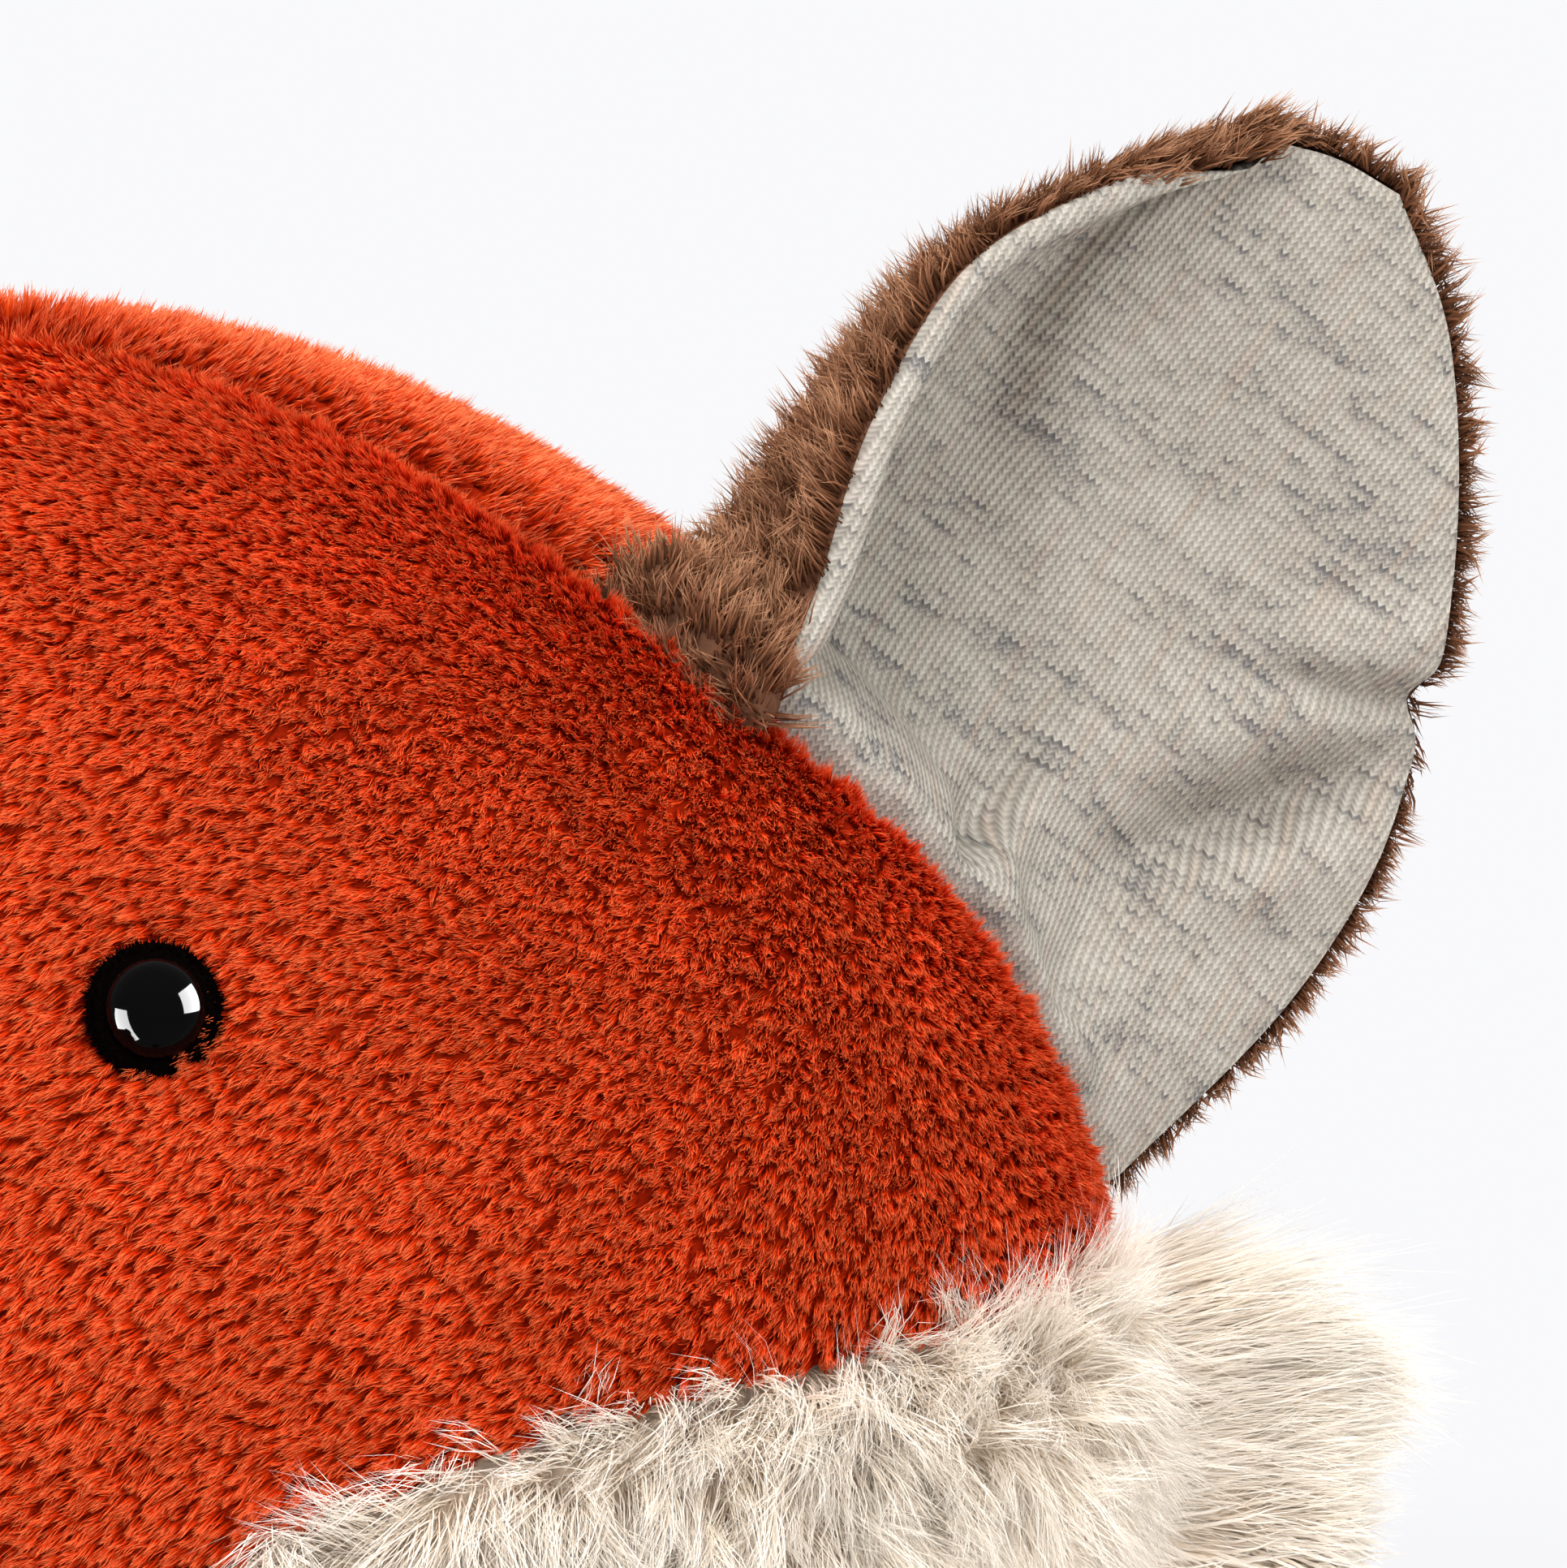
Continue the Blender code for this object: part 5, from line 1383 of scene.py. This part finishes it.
# %% Seat
SEAT_GAP = 3.5  # mm from the torso's foot to the oval's edge, which the back's pile covers
edge = np.abs(torso_point(np.array([TORSO_FOOT] * 2), np.array([0.0, math.pi / 2]), 0))
half_wide, half_deep = edge[1, 0] - SEAT_GAP, edge[0, 1] - SEAT_GAP
bm = bmesh.new()
bmesh.ops.create_circle(bm, cap_ends=True, segments=96, radius=1)
bmesh.ops.scale(bm, vec=(half_wide * MM, half_deep * MM, 1), verts=bm.verts)
bmesh.ops.inset_region(bm, faces=bm.faces, thickness=2.5 * MM, depth=0, use_boundary=True)
bmesh.ops.translate(bm, vec=(0, 0, 1.2 * MM), verts=bm.verts)
centre_face = max(bm.faces, key=lambda face: len(face.verts))
bmesh.ops.translate(bm, vec=(0, 0, -0.7 * MM), verts=centre_face.verts)
bmesh.ops.solidify(bm, geom=bm.faces, thickness=1.0 * MM)
bmesh.ops.recalc_face_normals(bm, faces=bm.faces)
# Rust pile that the fox's weight has pressed flat: a dull mid tone, pitted where the tufts part, with
# painted shade in each pit.
SEAT_PILE = backing_material("rust_pressed_pile", "A63012", 0.6)
mesh = mesh_from(bm, "seat_cloth", SEAT_PILE, smooth=False)
seat = finish_piece(mesh.name, mesh, "torso", "rust_plush", "seat_panel")
print(f"seat: {2 * half_wide:.0f} by {2 * half_deep:.0f} mm")

# %% [markdown]
# ## Stuffed limbs
# A limb is a tube of plush, closed at both ends and filled. It has a spine and a half width and height
# along it, and planes press on it: the ground, the shoulder it hangs against, the flat of a sole. One
# class serves the forelegs, the hind legs and the tail.

# %% Limb forms
UPRIGHT = np.array([0, 0, 1.0])
GROUND_PLANE = (np.zeros(3), UPRIGHT)


class Limb:
    """A stuffed tube. Its sizes are in mm, its spine, ways and halves functions of the share along it."""

    def __init__(self, spine, along, up, length, half_width, half_height, ends, planes):
        self.spine, self.along, self.up, self.length = spine, along, np.asarray(up, float), length
        self.half_width, self.half_height, self.ends, self.planes = half_width, half_height, ends, planes

    def point(self, share, roll, inset):
        run, rest = share * self.length, (1 - share) * self.length
        start, end = self.ends
        at_start, at_end = run < start, rest < end
        round_start = np.sqrt(np.maximum(0, 1 - (1 - run / start) ** 2))
        round_end = np.sqrt(np.maximum(0, 1 - (1 - rest / end) ** 2))
        rounding = np.where(at_start, round_start, np.where(at_end, round_end, 1))
        drawn_start = inset + run * (start - inset) / start
        drawn_end = self.length - inset - rest * (end - inset) / end
        run = np.where(at_start, drawn_start, np.where(at_end, drawn_end, run))
        place = run / self.length
        across = unit(np.cross(self.along(place), self.up))
        width = (self.half_width(share) - inset) * rounding * np.cos(roll)
        height = (self.half_height(share) - inset) * rounding * np.sin(roll)
        point = self.spine(place) + across * width[:, None] + self.up * height[:, None]
        for origin, outward in self.planes:
            below = np.minimum((point - origin) @ outward - np.minimum(inset, 0.6), 0)
            point = point - outward * below[:, None]
        return point


def skin_place(limb, cuff, from_root, inset, side):
    """One of a limb's two skins: from the root, or from the tip, to the cuff's seam."""

    def place(around, share):
        reach = cuff if from_root else 1 - cuff
        run = reach * (1 - np.cos(math.pi / 2 * share))
        run = np.where(share > 0.999, reach, run)
        where = run if from_root else 1 - run
        sink = drawn_in(np.abs(reach - run) * limb.length, around * 90, 1.4, 2.2)
        return limb.point(where, around * math.tau, inset + sink) * mirror(side)

    return place


def constant_way(way):
    way = np.asarray(way, float)
    return lambda share: np.tile(way, (len(share), 1))


def describe(name, limb):
    print(f"{name}: {limb.length} mm long, tip at", limb.spine(np.array([1.0]))[0].round(1))


# %% Foreleg
def foreleg():
    length, root, wrist, paw = 86, 16.5, 13.86, 18.5
    down = np.array([0, 0, -1]) + SHOULDER_OUT * SHOULDER_OUT[2]
    down = down / np.linalg.norm(down)
    down = np.array(Matrix.Rotation(math.radians(-12), 3, Vector(SHOULDER_OUT)) @ Vector(down))
    hinge = SHOULDER + SHOULDER_OUT * (root + 0.3)
    spine = lambda share: hinge + down * (share * length - root)[:, None]
    half = lambda share: smooth_curve((0, 0.25, 0.66, 0.85, 1), (root, root, wrist, paw, paw), share)
    planes = ((SHOULDER + SHOULDER_OUT * 0.3, SHOULDER_OUT),)
    return Limb(spine, constant_way(down), SHOULDER_OUT, length, half, half, (root, paw), planes), down


FORELEG, FORELEG_DOWN = foreleg()
describe("foreleg", FORELEG)

# %% Hind leg
FOOT_HALF_WIDTH, FOOT_HALF_HEIGHT = 24, 28


def hindleg():
    length, root, ankle = 128, 22, 17.6
    ahead = np.array([math.sin(math.radians(14)), -math.cos(math.radians(14)), 0])
    places = (0, 0.2, 0.60, 0.90, 1)

    def half_to(foot):
        return lambda share: smooth_curve(places, (root, root, ankle, foot, foot), share)

    half_width, half_height = half_to(FOOT_HALF_WIDTH), half_to(FOOT_HALF_HEIGHT)

    def spine(share):
        point = HIP + ahead * (share * length - root)[:, None]
        point[:, 2] = half_height(share) - 0.5
        return point

    sole = HIP + ahead * (length - root - 8)
    planes = (GROUND_PLANE, (sole, -ahead))
    ends = (root, FOOT_HALF_WIDTH)
    limb = Limb(spine, constant_way(ahead), UPRIGHT, length, half_width, half_height, ends, planes)
    return limb, ahead, sole


HINDLEG, AHEAD, SOLE = hindleg()
describe("hind leg", HINDLEG)

# %% The tail's form
TAIL_LENGTH, TAIL_RADIUS = 165, 13.5
TAIL_BEND = TAIL_LENGTH / math.radians(80)


def tail():
    places = (0, 0.12, 0.35, 0.60, 0.82, 1)
    half = lambda share: smooth_curve(places, (TAIL_RADIUS, TAIL_RADIUS, 23.2, 29, 23.2, 12.18), share)

    def spine(share):
        run = share * TAIL_LENGTH - TAIL_RADIUS
        turned_by = np.maximum(run, 0) / TAIL_BEND
        x = TAIL_BEND * (1 - np.cos(turned_by))
        y = TAIL_BEND * np.sin(turned_by) + np.minimum(run, 0)
        height = half(share) - 0.5
        settle = ease((share - 0.1) / 0.3)
        return np.stack([x, TAIL_ROOT[1] + y, TAIL_ROOT[2] + (height - TAIL_ROOT[2]) * settle], axis=-1)

    def along(share):
        turned_by = np.maximum(share * TAIL_LENGTH - TAIL_RADIUS, 0) / TAIL_BEND
        return np.stack([np.sin(turned_by), np.cos(turned_by), 0 * share], axis=-1)

    return Limb(spine, along, UPRIGHT, TAIL_LENGTH, half, half, (TAIL_RADIUS, 14.5), (GROUND_PLANE,))


TAIL = tail()
describe("tail", TAIL)

# %% [markdown]
# ## Dressing the limbs
# Each skin is a cloth with its own pile. The nap runs towards the paw. Pile is left off where the limb
# presses on the body, and where a sole covers it.

# %% Forelegs and hind legs
LEG_CUFF, TAIL_CUFF = 0.66, 0.68  # where along a limb its two cloths meet


def dress_limb(name, node, body, slot, limb, cuff, from_root, side, ground, pile, inset=1.6, **looks):
    """The cloth from a limb's root, or from its tip, to the cuff, with its pile."""
    middle = limb.spine(np.array([cuff / 2 if from_root else (1 + cuff) / 2]))[0] * mirror(side)
    place = skin_place(limb, cuff, from_root, inset, side)
    cloth = sew(
        f"{name}_cloth", 64, 48, place, away_from(*middle), body, slot, node, ground, 0.8, closed=True,
    )
    grow_pile(f"{name}_pile", cloth, pile, **looks)


def laid_along(way):
    return lambda places, normals: np.tile(way, (len(places), 1)) * 0.9


def off_torso(side):
    return lambda places: 1.0 * ((places / MM * mirror(side) - SHOULDER) @ SHOULDER_OUT > 2.2)


def off_body_and_sole(side):
    def weight(places):
        ahead_of_hip = (places / MM - HIP * mirror(side)) @ (AHEAD * mirror(side))
        return off_root(places) * (ahead_of_hip < 96)

    return weight


def off_root(places):
    """No pile inside the torso or under the limb."""
    return 1.0 * outside_torso(places, 0.5) * (places[:, 2] > 1.0 * MM)


short_pile = dict(spacing=1.25, strands=5, width=0.5, length=2.4, steps=2, cling=0.5)
for side_name, side in SIDES:
    for leg, tip, limb, way, weight, seed in (
        ("foreleg", "forepaw", FORELEG, FORELEG_DOWN, off_torso(side), 90 + side),
        ("hindleg", "foot", HINDLEG, AHEAD, off_body_and_sole(side), 95 + side),
    ):
        body, tip = f"{side_name}_{leg}", f"{side_name}_{tip}"
        for name, node, slot, from_root, ground, pile in (
            (body, f"{body}_skin", "rust_plush", True, RUST_GROUND, RUST_PILE),
            (tip, tip, "brown_plush", False, BROWN_GROUND, BROWN_PILE),
        ):
            dress_limb(
                name, node, body, slot, limb, LEG_CUFF, from_root, side, ground, pile,
                comb=laid_along(way * mirror(side)), weight=weight, seed=seed, **short_pile,
            )


# %% Tail
def tail_comb(places, normals):
    x, y, _ = places.T / MM
    turned_by = np.arctan2(y - TAIL_ROOT[1], TAIL_BEND - x)
    return 1.1 * np.stack([np.sin(turned_by), np.cos(turned_by), 0 * x], axis=-1)


dress_limb(
    "tail", "tail_skin", "tail", "rust_plush", TAIL, TAIL_CUFF, True, 1, RUST_GROUND, RUST_PILE, inset=3.2,
    spacing=1.95, strands=7, width=0.55, length=5.5, cling=0.65, comb=tail_comb, weight=off_root, seed=101,
)
dress_limb(
    "tail_tip", "tail_tip", "tail", "cream_long_pile", TAIL, TAIL_CUFF, False, 1, CREAM_GROUND, CREAM_PILE,
    inset=3.2, spacing=2.35, strands=11, width=0.5, length=6.5, cling=0.75, comb=tail_comb,
    weight=off_root, seed=102,
)

# %% [markdown]
# ## Soles
# Each foot ends in an oval pad of the jersey that lines the ears.

# %% Soles
SOLE_SHARE, SOLE_LEVEL = 0.72, 27.5  # of the foot's own end, and mm above the ground
for side_name, side in SIDES:
    out = Vector(AHEAD * mirror(side))
    bm = bmesh.new()
    bmesh.ops.create_circle(bm, cap_ends=True, segments=72, radius=1)
    half_sizes = (FOOT_HALF_WIDTH * SOLE_SHARE * MM, FOOT_HALF_HEIGHT * SOLE_SHARE * MM, 1)
    bmesh.ops.scale(bm, vec=half_sizes, verts=bm.verts)
    for inset, rise in ((0.8, 0.9), (2.0, 0.7), (4.0, 0.25)):
        face_now = max(bm.faces, key=lambda face: len(face.verts))
        bmesh.ops.inset_region(bm, faces=[face_now], thickness=inset * MM, depth=0, use_boundary=True)
        face_now = max(bm.faces, key=lambda face: len(face.verts))
        bmesh.ops.translate(bm, vec=(0, 0, rise * MM), verts=face_now.verts)
    uv = bm.loops.layers.uv.new("cloth")
    for polygon in bm.faces:
        for loop in polygon.loops:
            loop[uv].uv = loop.vert.co.xy
    turn = Matrix((Vector((0, 0, 1)).cross(out), Vector((0, 0, 1)), out)).transposed()
    centre = Vector(SOLE * mirror(side)) * MM + out * 0.2 * MM
    centre.z = SOLE_LEVEL * MM
    bmesh.ops.transform(bm, matrix=Matrix.Translation(centre) @ turn.to_4x4(), verts=bm.verts)
    mesh = mesh_from(bm, f"{side_name}_sole_pad", SOLE_JERSEY)
    sole = finish_piece(mesh.name, mesh, f"{side_name}_hindleg", "melange_jersey", f"{side_name}_sole")

# %% [markdown]
# ## What is inside
# Stuffing, washers and the pellet bag don't show on the finished toy, but they do when it is taken apart,
# so the solids get their own finishes.

# %% Finishes for the inner parts
# In mm. The grain is drawn coarser than a moulding's own, about 0.05 mm, which wouldn't show.
FIBRE_WAVE, MOULD_GRAIN = 6.25, 0.4

# Crimped polyester staple, pulled apart by hand: white, soft-edged lumps, with painted grey shade in
# their hollows.
FIBRE, tree, shader = new_material("polyester_fibre_fill", Roughness=0.9, Sheen_Weight=0.3)
place = add_node(tree, "TexCoord").outputs["Object"]
lumps = add_node(
    tree, "TexNoise", {"Vector": place, "Scale": 1 / (FIBRE_WAVE * MM), "Detail": 6, "Distortion": 1.5}
)
feed(shader, {
    "Base Color": add_node(tree, "ValToRGB", {"Fac": lumps}, [(0.35, "CFCDC8"), (0.65, "F4F3F0")]),
    "Normal": add_node(tree, "Bump", {"Height": lumps, "Distance": 1.5 * MM, "Strength": 0.8}),
})

# Polypropylene as it leaves the mould: milky white, half gloss, very slightly uneven.
WASHER, tree, shader = new_material("white_moulded_polypropylene", Roughness=0.4)
place = add_node(tree, "TexCoord").outputs["Object"]
grain = add_node(tree, "TexNoise", {"Vector": place, "Scale": 1 / (MOULD_GRAIN * MM)})
milky = add_node(tree, "ValToRGB", {"Fac": grain}, [(0.4, "DEDEDA"), (0.6, "ECECE8")])
feed(shader, {"Base Color": milky})

# Unbleached plain-weave cotton, thin and matt, which shows its cream warmth and a fine weave, with
# painted shade in the dips between threads.
PELLET_CLOTH = backing_material("calico_pellet_bag", "D9CFBC", 0.5)

for node, material in (("washer", WASHER), ("filling", FIBRE), ("pellet_bag", PELLET_CLOTH)):
    for name, solid in frame["nodes"].items():
        if node in name:
            for slot in solid.material_slots:
                slot.material = material
            print("dressed", name)

# %% [markdown]
# ## Stage, light and camera
# The floor is plain and pale. A wide soft box above gives most of the light, one in front of it models
# the folds, and weak ones at the sides and behind open the shadows. The two windows that the eye
# reflects are lamps of their own: they only show in reflections, so they can be as bright as the
# photograph has them and light nothing else.

# %% Lamps
def soft_box(name, place, aim, size, power):
    lamp = bpy.data.lights.new(name, "AREA")
    lamp.shape = "RECTANGLE"
    lamp.size, lamp.size_y = size
    lamp.energy = power
    box = bpy.data.objects.new(name, lamp)
    bpy.context.scene.collection.objects.link(box)
    box.location = place
    box.rotation_euler = (Vector(aim) - Vector(place)).to_track_quat("-Z", "Y").to_euler()
    box.visible_camera = False
    return box


def seen_directly(tree):
    """1 for rays that show the surface, straight, mirrored or through a clear piece, 0 for its light."""
    path = add_node(tree, "LightPath").outputs
    mirrored = add_node(
        tree, "Math", {0: path["Is Glossy Ray"], 1: path["Is Transmission Ray"]}, operation="MAXIMUM"
    )
    return add_node(tree, "Math", {0: path["Is Camera Ray"], 1: mirrored}, operation="MAXIMUM")


HEAD_CENTRE = (0.02, -0.02, 0.24)
soft_box("side_left", (-0.70, -0.55, 0.60), HEAD_CENTRE, (0.5, 0.6), 1.5)
soft_box("side_right", (0.85, -0.20, 0.55), HEAD_CENTRE, (0.5, 0.6), 4.5)
soft_box("front", (0.12, -1.05, 0.95), HEAD_CENTRE, (0.5, 0.5), 7.2)
soft_box("overhead", (0.0, -0.25, 1.15), HEAD_CENTRE, (1.0, 1.0), 12)
soft_box("behind", (-0.25, 0.85, 0.75), HEAD_CENTRE, (0.7, 0.5), 2.5)
for box in bpy.context.scene.objects:
    if box.type == "LIGHT":
        box.visible_glossy = False
EYE = Vector((0.042, -0.060, 0.245))
for name, way, size, power in (
    ("reflected_window_left", (-0.17, -0.17, -0.12), (0.19, 0.32), 50),
    ("reflected_window_right", (0.68, 0.21, 0.215), (0.72, 0.50), 330),
):
    window = soft_box(name, EYE + Vector(way), EYE, size, power)
    window.visible_diffuse = False

# %% Floor and background
BACKDROP, FLOOR_RADIUS = "F9F9FB", 6

# Matt emulsion paint on a flat floor: an even pale grey with no reflection of the fox. Towards its far
# edge it takes the background's own tone, so the eye finds no horizon.
floor_paint, tree, shader = new_material(
    "matte_floor_paint", Base_Color="E6E6E6", Roughness=0.9, Specular_IOR_Level=0
)
glow = add_node(tree, "Emission", {"Color": BACKDROP, "Strength": 1})
place = add_node(tree, "TexCoord").outputs["Object"]
far = add_node(tree, "VectorMath", {0: place}, operation="LENGTH").outputs["Value"]
share = add_node(
    tree, "MapRange", {"Value": far, "From Min": 0.3, "From Max": 1.6, "To Min": 0.7, "To Max": 1}
)
part = add_node(tree, "Math", {0: seen_directly(tree), 1: share}, operation="MULTIPLY")
blended = add_node(tree, "MixShader", {0: part, 1: shader, 2: glow})
feed(tree.nodes["Material Output"], {"Surface": blended})
bm = bmesh.new()
bmesh.ops.create_circle(bm, cap_ends=True, segments=96, radius=FLOOR_RADIUS)
floor = bpy.data.objects.new("floor", mesh_from(bm, "floor", floor_paint, smooth=False))
bpy.context.scene.collection.objects.link(floor)

world = bpy.data.worlds.new("studio")
world.use_nodes = True
bpy.context.scene.world = world
tree = world.node_tree
strength = add_node(tree, "MapRange", {"Value": seen_directly(tree), "To Min": 0.36, "To Max": 1})
feed(tree.nodes["Background"], {"Color": BACKDROP, "Strength": strength})
print("floor:", FLOOR_RADIUS, "m round the fox, background", BACKDROP)

# %% Camera
CAMERA_PLACE, CAMERA_AIM = Vector((0.3553, -0.7950, 0.3164)), Vector((0.0572, 0.0243, 0.2554))
camera_data = bpy.data.cameras.new("camera")
camera_data.lens, camera_data.sensor_width = 269.9, 36
camera_data.clip_end = 20
camera = bpy.data.objects.new("camera", camera_data)
bpy.context.scene.collection.objects.link(camera)
camera.location = CAMERA_PLACE
camera.rotation_euler = (CAMERA_AIM - CAMERA_PLACE).to_track_quat("-Z", "Y").to_euler()
bpy.context.scene.camera = camera
bpy.context.scene.view_settings.view_transform = "Standard"
print(f"camera {(CAMERA_AIM - CAMERA_PLACE).length:.2f} m from the head, lens {camera_data.lens:.0f} mm")
